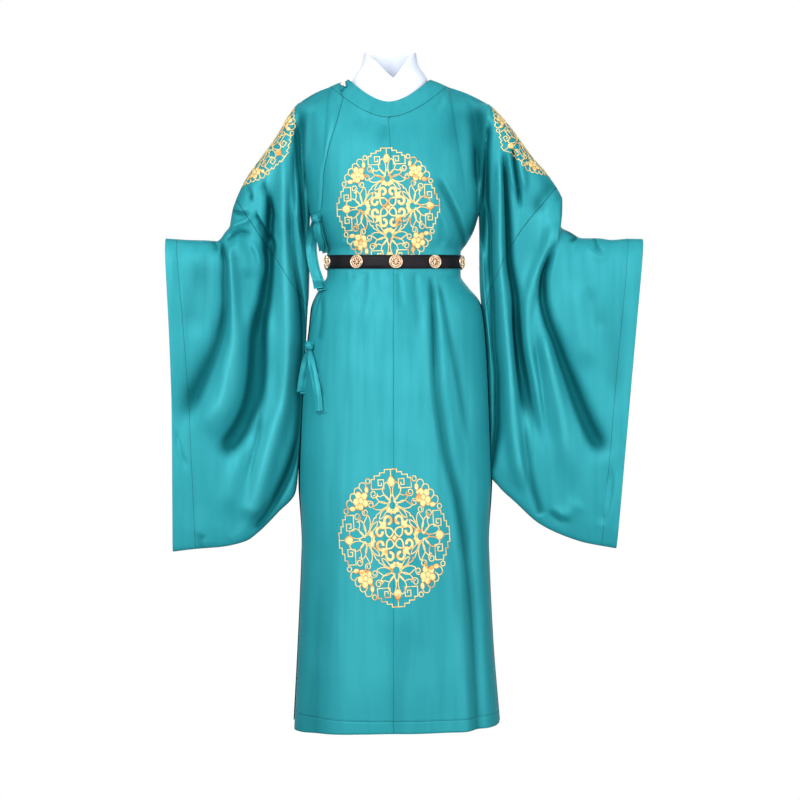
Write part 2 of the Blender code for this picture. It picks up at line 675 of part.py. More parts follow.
def finish_panel(name, shares, rows, back, right_seam, left_seam, sink=None):
    """Builds one body panel. The seams say what its right and left edges meet: side, centre or free."""
    row_grid = np.repeat(rows[:, None], shares.shape[1], axis=1)
    points = body_points(shares, row_grid, back)
    normals = body_normals(shares, row_grid, back)
    base = len(ROW_HEIGHTS) - 1
    half_gap = SEAM_GAP / 2
    across_front = 1.0 if back else -1.0
    for edge, seam, side in ((0, right_seam, "right"), (-1, left_seam, "left")):
        if seam == "centre":
            points[:, edge, 0] += half_gap if edge == 0 else -half_gap
        if seam != "side":
            continue
        sewn = points[:, edge, 2] > SIDE_SEWN_FROM
        normals[sewn, edge, 1] = 0
        ring, ring_normals = ARMHOLES[side]
        count = ARMHOLE_STEPS + 1
        order = np.arange(ARMHOLE_STEPS, -1, -1)
        if back:
            order = (len(ring) - order) % len(ring)
        inwards = np.array([1.0 if side == "right" else -1.0, 0.0, 0.0])
        whole = seam_ring(ring, ring_normals, inwards, closed=True)
        points[base : base + count, edge] = whole[order]
        normals[base : base + count, edge] = ring_normals[order]
        points[base, edge, 1] += across_front * half_gap
    top_share = shares[-1]
    on_shoulder = (top_share <= NECK_SHARE + 1e-6) | (top_share >= 1 - NECK_SHARE - 1e-6)
    points[-1, on_shoulder, 1] += across_front * half_gap
    normals[-1, on_shoulder, 1] = 0
    normals = unit(normals)
    on_neck = (top_share >= NECK_SHARE - 1e-6) & (top_share <= 1 - NECK_SHARE + 1e-6)
    downwards = unit(points[-2] - points[-1])
    points[-1, on_neck] += downwards[on_neck] * half_gap
    if sink is not None:
        points = points - normals * sink[..., None]
        points[-1, on_neck] += (downwards * sink[-1, :, None] * HIDDEN_NECK_DROP)[on_neck]
    wall(name, points, normals, "satin")


def blend_rows(first, last, count):
    """Evenly spaced columns for each row, between two edges that vary by row."""
    t = np.linspace(0, 1, count + 1)
    return first[:, None] + (last - first)[:, None] * t


def build_body():
    rows = np.arange(len(ROW_HEIGHTS) + ARMHOLE_STEPS, dtype=float)
    still = np.zeros(rows.shape)
    left_shares = np.array(LEFT_FRONT_SHARES)[None, :] + still[:, None]
    finish_panel("front_left_panel", left_shares, rows, False, "centre", "side")
    edge = overlap_edge_share(rows)
    overlap = blend_rows(edge, still + 0.5, OVERLAP_STEPS)
    finish_panel("front_overlap_panel", overlap, rows, False, "free", "centre")
    clear = np.clip(edge - SINK_BEFORE, 0.0, None)
    hidden = np.clip(edge - HIDDEN_BEFORE, 0.012, None)
    neck_from = np.where(clear > NECK_SHARE, NECK_SHARE, clear * 0.6)
    between = (neck_from + clear) / 2 + 0.002
    shown = np.stack([still, neck_from * 0.5, neck_from, between, clear + 0.004], axis=1)
    under = np.concatenate([shown, blend_rows(hidden, still + UNDERLAP_SHARE, HIDDEN_STEPS)], axis=1)
    sink = LAYER_STEP * ease((under - edge[:, None] + SINK_BEFORE) / SINK_EASE)
    finish_panel("front_right_panel", under, rows, False, "side", "free", sink)
    UNDER_NECK.extend(share for share in under[-1] if share > NECK_SHARE + 1e-6)
    back_shares = np.array(BACK_SHARES)
    right = back_shares[None, :] + still[:, None]
    left = (1 - back_shares[::-1])[None, :] + still[:, None]
    finish_panel("back_right_panel", right, rows, True, "side", "centre")
    finish_panel("back_left_panel", left, rows, True, "centre", "side")


def neck_angle(share):
    """The angle round the neck at which a panel's share of the way across meets it."""
    return (share - NECK_SHARE) / (1 - 2 * NECK_SHARE) * math.pi


def build_collar_band():
    """One standing strip: from the wearer's right shoulder, round the neck, and on under itself."""
    whole = 2 * math.pi
    first, after = NECK_SHARE - 1e-6, NECK_SHARE + 1e-6
    left_front = [neck_angle(share) for share in LEFT_FRONT_SHARES[1:] if share < 1 - first]
    left_back = [whole - neck_angle(1 - share) for share in BACK_SHARES if share > after]
    right_back = [whole - neck_angle(share) for share in BACK_SHARES[-2::-1] if share >= first]
    under = [whole + neck_angle(share) for share in UNDER_NECK]
    under = [angle for angle in under if angle < BAND_UNDER_END]
    fixed = np.array(left_front + left_back + right_back + under)
    rows = []
    for part in (0.0, 0.5, 1.0):
        first = BAND_END_LOW + (BAND_END_TOP - BAND_END_LOW) * part
        opening = np.linspace(first, math.pi / 2, OVERLAP_STEPS + 1)
        angle = np.concatenate([opening, fixed])
        low, top = neck_ring(BAND_LOW, angle), neck_ring(BAND_TOP, angle)
        points = low + (top - low) * part
        out = np.stack([-np.cos(angle), -np.sin(angle), BAND_LEAN + 0 * angle], axis=1)
        sink_from = UNDER_BAND_LOW + (UNDER_BAND_TOP - UNDER_BAND_LOW) * part
        sink = BAND_STEP * ease((angle - sink_from) / UNDER_BAND_EASE)
        points = points + unit(out) * (BAND_SWELL * math.sin(math.pi * part) - sink)[:, None]
        rows.append(points)
    outer = np.stack(rows)
    normals = grid_normals(outer)
    upwards = unit(outer[1] - outer[0])
    outer[0] += upwards * SEAM_GAP / 2
    wall("collar_band", outer, normals, "satin")
    return outer, normals


def build_button(band, normals):
    """A ball button on the band's free end, and the cloth loop round its foot."""
    place, out = band[1, 0] + (band[1, 1] - band[1, 0]) * BUTTON_INSET, normals[1, 0]
    centre = place + out * (BUTTON_RADIUS + BUTTON_CLEAR)
    make_turned("collar_button", centre, out, [
        (BUTTON_RADIUS * math.sin(angle), BUTTON_RADIUS * -math.cos(angle))
        for angle in np.linspace(0, math.pi, 8)
    ], 14, "button_pearl")
    tube = [
        (LOOP_RADIUS + LOOP_CORD * math.cos(angle), LOOP_CORD * math.sin(angle))
        for angle in np.linspace(0, 2 * math.pi, 6)[:-1]
    ]
    make_turned("button_loop", place + out * LOOP_CLEAR, out, tube, 16, "satin", ring=True)


def frame_about(axis):
    side = unit(np.cross(axis, (0.0, 0.0, 1.0)))
    return side, unit(np.cross(axis, side))


def make_turned(name, centre, axis, profile, steps, material_name, ring=False):
    """A profile of (radius, height) turned about an axis. ring joins its ends instead of capping them."""
    side, up = frame_about(axis)
    vertices, faces, loops = [], [], []
    for radius, height in profile:
        if radius < 1e-6:
            loops.append([len(vertices)])
            vertices.append(centre + axis * height)
            continue
        loop = []
        for k in range(steps):
            angle = 2 * math.pi * k / steps
            loop.append(len(vertices))
            spoke = side * math.cos(angle) + up * math.sin(angle)
            vertices.append(centre + axis * height + radius * spoke)
        loops.append(loop)
    pairs = list(zip(loops[:-1], loops[1:])) + ([(loops[-1], loops[0])] if ring else [])
    for low, high in pairs:
        for k in range(steps):
            after = (k + 1) % steps
            if len(low) == 1:
                faces.append((low[0], high[k], high[after]))
            elif len(high) == 1:
                faces.append((low[k], high[0], low[after]))
            else:
                faces.append((low[k], high[k], high[after], low[after]))
    if not ring:
        for loop, forward in ((loops[0], True), (loops[-1], False)):
            if len(loop) > 1:
                faces.append(tuple(loop if forward else loop[::-1]))
    vertices = np.array(vertices)
    if enclosed_volume(vertices, faces) < 0:
        faces = [face[::-1] for face in faces]
    make_object(name, vertices, faces, material_name)


def belt_route(angle, clear):
    """A point outside the waist. Angle 0 is the wearer's right and 90 degrees is the front."""
    waist = ring_sides(BELT_MIDDLE)
    cosine, sine = np.cos(angle), np.sin(angle)
    depth = np.where(sine > 0, waist["front"], waist["back"]) + clear
    half = (waist["left"] + waist["right"]) / 2 + clear
    x = -half * cosine
    y = -np.sign(sine) * depth * np.abs(sine) ** SIDE_ROUNDNESS
    z = BELT_MIDDLE - BELT_FRONT_DROOP * np.clip(sine, 0, 1) + BELT_FRONT_DROOP / 2
    return np.stack([x, y, z], axis=-1)


def build_belt():
    """The strap is one strip whose end laps over its start at the middle of the back."""
    angle = np.linspace(-math.pi / 2, math.pi * 1.5 + BELT_LAP, BELT_STEPS)
    climb = (angle - (math.pi * 1.5 - BELT_LAP * 1.6)) / (BELT_LAP * 1.4)
    lift = (BELT_THICK + BELT_LAP_CLEAR) * ease(climb)
    middle = belt_route(angle, BELT_CLEAR + BELT_THICK)
    out = middle - belt_route(angle, BELT_CLEAR + BELT_THICK - 1.0)
    middle = middle + unit(out) * lift[:, None]
    up = np.array([0.0, 0.0, BELT_WIDTH / 2])
    outer = np.stack([middle - up, middle + up])
    normals = grid_normals(outer)
    facing = np.sum(normals[0] * out, axis=1).mean()
    wall("belt_strap", outer, normals * np.sign(facing), "belt_leather", thick=BELT_THICK)


def build_plaques():
    """Round plaques evenly spaced along the strap from the middle of the front."""
    angle = np.linspace(-math.pi / 2, math.pi * 1.5, 721)
    route = belt_route(angle, BELT_CLEAR + BELT_THICK)
    run = np.concatenate([[0], np.cumsum(np.linalg.norm(np.diff(route, axis=0), axis=1))])
    front = np.interp(math.pi / 2, angle, run) + PLAQUE_FIRST_SHIFT
    for number in range(PLAQUE_COUNT):
        at = front + (number - PLAQUE_COUNT // 2) * PLAQUE_SPACING
        centre = np.array([np.interp(at, run, route[:, axis]) for axis in range(3)])
        ahead = np.array([np.interp(at + 2, run, route[:, axis]) for axis in range(3)])
        across = unit(ahead - centre)
        out = unit(np.cross(across, (0.0, 0.0, 1.0)))
        out = out * np.sign(np.dot(out, centre))
        profile = [
            (0, 0), (PLAQUE_RADIUS, 0), (PLAQUE_RADIUS, 2.8), (PLAQUE_RADIUS - 2.4, 3.2),
            (PLAQUE_RADIUS - 3.4, 2.4), (0, PLAQUE_THICK),
        ]
        foot = centre + out * PLAQUE_CLEAR
        make_turned("belt_plaque_" + str(number + 1), foot, out, profile, 14, "plaque_gold")


def build_inner_collar():
    """The crossed collar: one strip from the wearer's left front, round the neck, over to the right front."""
    angles = np.radians(column(INNER_EDGE_COLUMNS, INNER_EDGE, "angle"))[::-1]
    tops = column(INNER_EDGE_COLUMNS, INNER_EDGE, "top")[::-1]
    steps = column(INNER_EDGE_COLUMNS, INNER_EDGE, "step")[::-1]
    angle = np.linspace(angles[0], angles[-1], INNER_STEPS + 1)
    top, step = smooth_read(angles, tops, angle), smooth_read(angles, steps, angle)
    heights = column(INNER_COLUMNS, INNER_SECTIONS, "height")
    rows = []
    for part in np.linspace(0, 1, INNER_ROWS):
        z = INNER_LOW + (top - INNER_LOW) * part
        size = {
            name: smooth_read(heights, column(INNER_COLUMNS, INNER_SECTIONS, name), z) - step
            for name in INNER_COLUMNS[1:]
        }
        x = INNER_MIDDLE_X - size["half_width"] * np.cos(angle)
        y = -np.sin(angle) * np.where(np.sin(angle) > 0, size["front"], size["back"])
        rows.append(np.stack([x, y, z], axis=-1))
    outer = np.stack(rows)
    wall("inner_collar", outer, grid_normals(outer), "inner_cotton", thick=INNER_THICK)


def ahead_of_cloth(x, clear, height):
    """A point clear of the front's surface, as far ahead as that surface lies a little way inwards."""
    size = ring_sides(height)
    cosine = np.clip(-(x + TIE_INSIDE) / size["right"], 0, 0.985)
    y = -size["front"] * (1 - cosine**2) ** (SIDE_ROUNDNESS / 2) - clear
    return np.array([x, y, height], float)


def build_ties():
    """Two pairs of ribbons, each knotted at the overlap's free edge and hanging."""
    for name, route in TIE_ROUTES.items():
        points = np.array([ahead_of_cloth(**dict(zip(TIE_ROUTE_COLUMNS, spot))) for spot in route])
        run = np.concatenate([[0], np.cumsum(np.linalg.norm(np.diff(points, axis=0), axis=1))])
        at = np.linspace(0, run[-1], 9)
        middle = np.stack([smooth_read(run, points[:, axis], at) for axis in range(3)], axis=1)
        first_turn, last_turn = TIE_TURNS[name]
        turn = np.linspace(first_turn, last_turn, len(at))
        width = TIE_WIDTH / 2 * np.interp(at, [0, run[-1] * 0.3], [0.55, 1.0])
        side = np.stack([np.cos(turn), np.sin(turn), 0 * turn], axis=1) * width[:, None]
        outer = np.stack([middle - side, middle + side])
        wall(name, outer, grid_normals(outer), "satin", thick=TIE_THICK)
    for name, centre in TIE_KNOTS.items():
        profile = [(math.sin(angle), -math.cos(angle)) for angle in np.linspace(0, math.pi, 7)]
        make_knot(name, ahead_of_cloth(*centre), profile)


def make_knot(name, centre, profile, steps=10):
    vertices, faces = [], []
    for radius, height in profile[1:-1]:
        for k in range(steps):
            angle = 2 * math.pi * k / steps
            spot = np.array([radius * math.cos(angle), height, radius * math.sin(angle)])
            vertices.append(centre + spot * np.array(KNOT_SIZE))
    low, high = len(vertices), len(vertices) + 1
    vertices += [centre - np.array([0, KNOT_SIZE[1], 0]), centre + np.array([0, KNOT_SIZE[1], 0])]
    for ring in range(len(profile) - 3):
        for k in range(steps):
            a, b = ring * steps + k, ring * steps + (k + 1) % steps
            faces.append((a, b, b + steps, a + steps))
    last = (len(profile) - 3) * steps
    for k in range(steps):
        faces.append((low, (k + 1) % steps, k))
        faces.append((high, last + k, last + (k + 1) % steps))
    vertices = np.array(vertices)
    if enclosed_volume(vertices, faces) < 0:
        faces = [face[::-1] for face in faces]
    make_object(name, vertices, faces, "satin")


def make_material(name, colour, roughness, metallic):
    material = bpy.data.materials.new(name)
    material.use_nodes = True
    shader = material.node_tree.nodes["Principled BSDF"]
    shader.inputs["Base Color"].default_value = colour
    shader.inputs["Roughness"].default_value = roughness
    shader.inputs["Metallic"].default_value = metallic
    return material


for old in list(bpy.data.objects):
    bpy.data.objects.remove(old)
MATERIAL_BLOCKS = {name: make_material(name, *values) for name, values in MATERIALS.items()}
ARMHOLES = {}
UNDER_NECK = []
build_sleeve("right", RIGHT_SLEEVE, RIGHT_SLEEVE_FRONT_FOLDS, RIGHT_SLEEVE_BACK_FOLDS, True)
build_sleeve("left", LEFT_SLEEVE, LEFT_SLEEVE_FRONT_FOLDS, LEFT_SLEEVE_BACK_FOLDS, False)
build_body()
collar_points, collar_normals = build_collar_band()
build_button(collar_points, collar_normals)
build_belt()
build_plaques()
build_inner_collar()
build_ties()
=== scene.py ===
"""Looks of the worn hanfu robe: satin cloth with its drape, gold embroidery, ties, belt and inner collar.

Lengths are in millimetres until a mesh is made; MM turns them into the frame's metres. The frame's origin
is the middle of the neck, +Z is up, -Y is the front and +X is the wearer's left.
"""

import math

import bmesh
import bpy
import numpy as np
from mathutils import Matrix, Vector
from mathutils.bvhtree import BVHTree


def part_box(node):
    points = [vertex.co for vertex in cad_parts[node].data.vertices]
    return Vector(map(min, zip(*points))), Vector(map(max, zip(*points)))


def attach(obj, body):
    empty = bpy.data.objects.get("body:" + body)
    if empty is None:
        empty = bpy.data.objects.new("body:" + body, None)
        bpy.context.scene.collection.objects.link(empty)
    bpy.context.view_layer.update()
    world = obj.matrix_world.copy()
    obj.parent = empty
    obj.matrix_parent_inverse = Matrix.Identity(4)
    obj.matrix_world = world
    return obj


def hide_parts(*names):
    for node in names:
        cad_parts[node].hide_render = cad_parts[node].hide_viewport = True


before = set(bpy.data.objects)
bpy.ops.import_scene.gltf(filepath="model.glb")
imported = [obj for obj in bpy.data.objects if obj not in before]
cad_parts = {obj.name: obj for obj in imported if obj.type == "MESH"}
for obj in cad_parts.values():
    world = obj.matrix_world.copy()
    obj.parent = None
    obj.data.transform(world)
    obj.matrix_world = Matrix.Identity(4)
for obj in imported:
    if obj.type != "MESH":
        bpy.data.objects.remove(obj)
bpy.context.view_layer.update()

# LAYER_STEP is how far the under front lies below the overlap. EDGE_OUT and EDGE_BACK round off an edge.
MM = 0.001
CLOTH_THICK = 1.3
EDGE_OUT, EDGE_BACK = 0.4, 0.5
UNDERARM = -285.0
SIDE_ROUNDNESS = 0.8
CHEST_ROUNDNESS, NECK_ROUNDNESS = 0.5, 0.4
LAYER_STEP = 2.8
LAYER_STEP_AT_NECK = 0.8

# ================================================================ sizes shared with the solids

SECTION_COLUMNS = ("height", "right", "left", "front", "back", "slit")
SECTIONS = (
    (-1370, 214, 226, 158, 150, 26),
    (-1196, 205, 212, 152, 145, 22),
    (-1000, 197, 203, 145, 140, 18),
    (-772, 191, 197, 138, 134, 12),
    (-640, 184, 192, 132, 130, 7),
    (-532, 172, 185, 126, 126, 2),
    (-470, 165, 175, 119, 121, 0),
    (-440, 157, 158, 111, 113, 0),
    (-416, 143, 143, 104, 104, 0),
    (-368, 143, 143, 104, 104, 0),
    (-346, 158, 157, 113, 111, 0),
    (-320, 171, 171, 121, 116, 0),
    (UNDERARM, 180, 182, 125, 118, 0),
)
HEM = SECTIONS[0][0]
SECTION_HEIGHTS = [row[0] for row in SECTIONS]
BELT_MIDDLE = -391.0
BELT_STILL = 17.0
BELT_EASE = 16.0
BELT_GATHER = 2.4
BELT_GATHER_REACH = 62.0
BACK_FLARE = 2.5
BACK_SLIT_SHARE = 0.6
SIDE_FILL_TOP = -430.0
SIDE_FILL_LOW = -1000.0
SIDE_FILL_START = 60.0
SIDE_FILL_END = 160.0
SIDE_FILL_BACK = 11.0
SIDE_FILL_FRONT = 8.0
HEM_FRONT_RISE = 4.0
HEM_SIDE_DROP = 13.0
HEM_FROM = -1100.0

BAND_LOW = (-11.0, 126.0, 88.0, 85.0, -12.0, -91.0, -20.0)
BAND_TOP = (-10.0, 88.0, 68.0, 62.0, 3.4, -55.0, 14.0)
NECK_SHARE = 0.17
SHOULDER_BOW = (0.0, 0.0, 4.0)
NECK_DIP = 1.8
BAND_END_LOW = math.radians(41)
BAND_END_TOP = math.radians(8)
BAND_UNDER_END = math.radians(440)
BAND_STEP = 4.0

STATION_COLUMNS = ("top_x", "top_z", "low_x", "low_z", "arm", "bag", "middle_y", "bow")
SLEEVE_SEAM = 5
RIGHT_SLEEVE = (
    (-205, -49, -180, UNDERARM, 52, 20, 0, 0),
    (-225, -75, -181, -339, 54, 20, 2, 0),
    (-246, -111, -181, -386, 54, 20, 5, 0),
    (-283, -162, -182, -435, 52, 21, 8, 0),
    (-315, -206, -183, -461, 50, 22, 10, 0),
    (-338, -252, -185, -482, 48, 22, 10, 0),
    (-345, -274, -192, -617, 47, 23, 8, 0),
    (-348, -294, -202, -789, 46, 24, 4, 0),
    (-350, -309, -210, -877, 45, 24, 0, 0),
    (-359, -323, -248, -923, 43, 24, -6, 0),
    (-377, -343, -290, -965, 38, 24, -12, 0),
    (-402, -342, -314, -982, 34, 23, -20, 0),
    (-433, -342, -365, -994, 30, 22, -28, 2),
    (-458, -341, -420, -998, 26, 20, -35, 5),
    (-481, -340, -467, -1003, 22, 19, -42, 6),
)
LEFT_SLEEVE = (
    (203, -51, 182, UNDERARM, 52, 20, 0, 0),
    (229, -76, 183, -339, 54, 20, 2, 0),
    (262, -116, 183, -386, 54, 20, 5, 0),
    (295, -161, 184, -435, 52, 21, 8, -6),
    (324, -193, 187, -474, 50, 22, 10, -16),
    (349, -227, 191, -506, 48, 22, 10, -28),
    (356, -240, 200, -617, 47, 23, 8, -24),
    (360, -253, 205, -746, 46, 24, 4, -12),
    (359, -279, 206, -838, 45, 24, 0, 0),
    (356, -310, 225, -868, 43, 24, -4, 0),
    (376, -324, 262, -903, 40, 24, -9, 0),
    (401, -337, 309, -945, 36, 23, -16, 0),
    (434, -338, 357, -969, 31, 22, -24, 0),
    (463, -342, 406, -985, 28, 21, -31, 0),
    (494, -340, 439, -991, 25, 20, -37, 0),
    (525, -341, 470, -996, 22, 19, -42, 0),
)
CUFF_STITCH = {"right": 13.0, "left": 14.0}
ARM_RADIUS = 50.0

OVERLAP_COLUMNS = ("height", "x")
OVERLAP_EDGE = (
    (-520, -169),
    (-470, -158),
    (-416, -137),
    (-372, -137),
    (-346, -151),
    (-313, -157),
    (-266, -151),
    (-206, -147),
    (-170, -140),
    (-137, -132),
    (-108, -122),
    (-38, -106),
)
OVERLAP_SIDE_SHARE = 0.02
OVERLAP_SIDE_FROM = -520.0
UNDERLAP_SHARE = 0.62
OVERLAP_TRIALS = 401
OVERLAP_SMOOTHING = 4

# ================================================================ mesh fineness and small sizes
# A TURN lists the rows that an edge's inner layer reaches back over. EVEN values are for evening out the
# body, ARMHOLE ones for its joint with the sleeves, and CALM ones say over how much of the way across or up
# the folds die out. A row of WAVES is height, size along x, size along z, and the front's and back's seed.

LOW_ROWS = 260
NECK_STEPS = 240
FINE_STATIONS = 300
HEM_TURN = (2, 5, 8)
FREE_TURN = (1, 3, 5)
CUFF_TURN = (3, 8, 14)
BAND_TURN = (1, 3, 6)
BAND_END_TURN = (1, 4)
DOWN_STEPS = 120
UPPER_STATIONS = 58
LOWER_STATIONS = 200
PANEL_COLUMNS = 62
EVENNESS = 0.15
SOFTNESS = 1.5
LEAST_DEPTH = 9.0
HEM_STITCH = 25.0
FAINT = 0.35
MERGE = 0.04
FAR = 500.0
EVEN_FROM = -520.0
EVEN_ROWS = 118
EVEN_COLUMNS = 180
EVEN_ROUNDS = 500
EVEN_STRENGTH = 0.9
EVEN_REACH = 90.0
ARMHOLE_REACH = 0.3
ARMHOLE_EDGE = 0.08
ARMHOLE_START = 0.3
SIDE_CALM = 0.08
TOP_CALM = 0.12
# Pushes at which the satin's painted shade in fold valleys and painted highlight on fold crests are full.
PAINTED_SHADE_FULL_AT = 15.0
PAINTED_HIGHLIGHT_FULL_AT = 18.0
BAG_ROUNDNESS = 0.28
EDGE_STEEPNESS = 5.0
FREE_FROM = 1.0
FREE_REACH = 3.0
SLEEVE_BLEND = {"top_": 0.4, "low_": 0.6}
NOISE_GRID = (64, 64)
NOISE_SHIFT = (31.5, 53.5)
SLEEVE_WAVES = ((1.8, 52, 150, 3, 5), (0.7, 21, 64, 4, 5))
BODY_WAVES = ((1.0, 58, 210, 8, 9), (0.5, 24, 90, 10, 11))
GATHER_WAVES = ((1.0, 9, 30, 12, 13),)
GATHER_STRETCH = 0.2

# ================================================================ folds
# A row is: path in (x, z), width to each side at its start and at its end, height out (+) or in (-), lean,
# power, fade in, fade out. Lean tips the fold to one side of its path. Power 2 is a soft fold, and less is a
# sharper crease. Fades are shares of its length.

ROUTE_STEPS = 6
FOLD_REACH = 3.4
LEAN_REACH = 1.7
LEAN_GAIN = 1.3
RIGHT_SLEEVE_FRONT_FOLDS = (
    (
        ((-226, -120), (-230, -200), (-230, -317), (-229, -403), (-226, -467), (-223, -547), (-226, -617),
         (-233, -682), (-252, -746), (-270, -810), (-288, -875), (-310, -950)), 14, 21, 17, 0.0, 2, 0.15, 0.05,
    ),
    (
        ((-256, -200), (-264, -317), (-268, -403), (-276, -467), (-294, -547), (-298, -617), (-308, -682),
         (-333, -746), (-360, -780), (-390, -792)), 7, 21, -24, -0.15, 1.9, 0.2, 0.1,
    ),
    (
        ((-344, -350), (-342, -403), (-340, -467), (-336, -547), (-345, -617), (-362, -682), (-400, -740),
         (-425, -755)), 9, 26, 16, 0.0, 2, 0.08, 0.2,
    ),
    (
        ((-371, -338), (-361, -362), (-353, -403), (-353, -467), (-367, -547), (-394, -617), (-424, -682),
         (-448, -745)), 4, 24, -14, 0.15, 1.8, 0.06, 0.2,
    ),
    (
        ((-219, -200), (-219, -317), (-211, -403), (-200, -467), (-193, -547), (-196, -617), (-197, -682),
         (-200, -746), (-215, -810), (-242, -875), (-281, -939), (-310, -970)),
        5, 11, -16, 0.0, 1.9, 0.15, 0.05,
    ),
    (((-202, -170), (-203, -250), (-201, -317), (-192, -403)), 5, 6, 7, 0.0, 2, 0.3, 0.3),
    (((-205, -80), (-203, -140), (-200, -210), (-194, -290), (-186, -380)), 9, 8, -17, 0.0, 1.8, 0.15, 0.3),
    (((-283, -470), (-280, -547), (-280, -617), (-287, -682), (-302, -730)), 11, 12, -7, 0.0, 2, 0.25, 0.3),
    (((-283, -700), (-287, -746), (-302, -810), (-317, -875)), 3.5, 5, -6, 0.0, 1.8, 0.25, 0.4),
    (((-300, -746), (-325, -810), (-345, -875), (-350, -940)), 16, 24, 8, 0.0, 2, 0.25, 0.3),
    (((-345, -277), (-324, -287), (-300, -289)), 5, 3, -8, 0.3, 1.6, 0.05, 0.35),
    (((-373, -339), (-348, -317), (-310, -304), (-296, -283)), 6, 6, 9, 0.0, 1.8, 0.05, 0.25),
    (((-356, -347), (-324, -328), (-296, -334)), 4, 8, -10, 0.3, 1.6, 0.15, 0.35),
    (((-294, -285), (-270, -324), (-253, -354), (-253, -386)), 3, 4, -9, 0.3, 1.6, 0.1, 0.3),
    (((-304, -339), (-283, -386), (-274, -435)), 8, 11, 7, 0.0, 2, 0.25, 0.35),
    (((-279, -215), (-262, -265), (-249, -311)), 5, 6, -8, 0.3, 1.7, 0.2, 0.3),
    (((-338, -345), (-322, -372), (-312, -400), (-312, -430)), 14, 18, 7, 0.0, 2, 0.2, 0.35),
    (((-389, -334), (-377, -352), (-369, -373)), 4, 4, -7, 0.4, 1.6, 0.1, 0.3),
    (((-312, -227), (-302, -246), (-298, -266)), 3, 3.5, -7, 0.3, 1.6, 0.2, 0.3),
    (((-285, -300), (-272, -360), (-268, -390)), 6, 8, -9, 0.2, 1.8, 0.2, 0.3),
    (((-410, -370), (-412, -460), (-425, -560)), 34, 30, -6, 0.0, 2, 0.3, 0.3),
    (((-212, -150), (-211, -220), (-207, -300)), 3, 3.5, -7, 0.0, 1.7, 0.2, 0.3),
    (((-190, -100), (-189, -180), (-186, -260)), 3, 3.5, -7, 0.0, 1.7, 0.2, 0.3),
    (((-459, -742), (-450, -790), (-431, -832)), 4, 5, -4, 0.3, 1.7, 0.3, 0.3),
    (((-402, -965), (-408, -985), (-398, -1000)), 8, 9, -7, 0.3, 1.8, 0.3, 0.05),
    (((-300, -930), (-316, -965), (-340, -990)), 14, 18, 6, 0.0, 2, 0.3, 0.1),
)
LEFT_SLEEVE_FRONT_FOLDS = (
    (
        ((223, -150), (223, -253), (223, -317), (224, -382), (232, -467), (240, -553), (247, -639),
         (251, -725), (263, -810), (278, -890)), 9, 17, 17, 0.0, 2, 0.12, 0.1,
    ),
    (
        ((230, -140), (233, -189), (237, -253), (241, -317), (244, -382), (258, -467), (266, -553),
         (281, -639), (298, -725), (318, -800)), 5, 14, -21, 0.0, 1.9, 0.12, 0.25,
    ),
    (((272, -700), (279, -780), (290, -850), (312, -930)), 7, 9, -10, 0.0, 1.8, 0.3, 0.04),
    (
        ((345, -300), (318, -375), (296, -430), (284, -480), (281, -553), (296, -639), (311, -725),
         (326, -800)), 16, 9, 13, 0.0, 2, 0.08, 0.3,
    ),
    (
        ((352, -345), (327, -382), (315, -430), (316, -467), (325, -510), (341, -553), (373, -639),
         (407, -725), (436, -780), (459, -810)), 6, 20, -20, 0.0, 1.9, 0.12, 0.12,
    ),
    (((302, -510), (300, -553), (311, -639), (323, -725), (335, -800)), 5, 6, -6, 0.0, 1.8, 0.3, 0.35),
    (
        ((315, -520), (320, -560), (337, -639), (355, -725), (369, -810), (382, -875)),
        10, 22, 14, 0.0, 2, 0.2, 0.3,
    ),
    (((384, -420), (388, -480), (398, -553), (424, -625)), 20, 26, 9, 0.0, 2, 0.3, 0.3),
    (((410, -440), (418, -490), (440, -545)), 12, 16, -5, 0.0, 1.9, 0.3, 0.3),
    (
        ((197, -150), (198, -253), (206, -317), (207, -382), (212, -467), (214, -553), (221, -639),
         (221, -725), (208, -810), (196, -850)), 5, 9, -14, 0.0, 1.9, 0.15, 0.05,
    ),
    (((186, -340), (188, -382), (193, -467), (202, -553), (208, -639)), 5, 6, 10, 0.0, 2, 0.2, 0.3),
    (((202, -80), (196, -140), (193, -210), (189, -300), (186, -400)), 7, 8, -17, 0.0, 1.8, 0.15, 0.3),
    (((252, -467), (261, -553), (268, -639), (274, -700), (280, -760)), 9, 11, -14, 0.0, 2, 0.25, 0.3),
    (((462, -420), (466, -560), (462, -720)), 24, 28, -5, 0.0, 2, 0.3, 0.3),
    (((425, -338), (430, -360), (444, -378)), 4, 6, -9, 0.3, 1.7, 0.05, 0.4),
    (((398, -345), (420, -372), (452, -385)), 9, 12, 4, 0.0, 2, 0.2, 0.3),
    (((360, -314), (386, -340), (367, -350)), 4, 5, -11, 0.4, 1.5, 0.1, 0.25),
    (((250, -140), (257, -189), (266, -253), (268, -290)), 3.5, 5, -13, 0.4, 1.6, 0.15, 0.3),
    (((240, -150), (247, -200), (255, -250)), 6, 6, 6, 0.0, 2, 0.25, 0.3),
    (((268, -160), (272, -200), (280, -250)), 8, 8, 7, 0.0, 2, 0.25, 0.3),
    (((345, -220), (315, -255), (290, -300)), 16, 14, -9, 0.3, 1.8, 0.15, 0.4),
    (((325, -915), (348, -934), (378, -944)), 7, 9, -6, 0.3, 1.8, 0.3, 0.3),
    (((395, -890), (372, -918), (345, -935)), 16, 18, 5, 0.0, 2, 0.3, 0.2),
    (((462, -820), (455, -880), (440, -950)), 6, 8, -5, 0.3, 1.8, 0.3, 0.2),
)
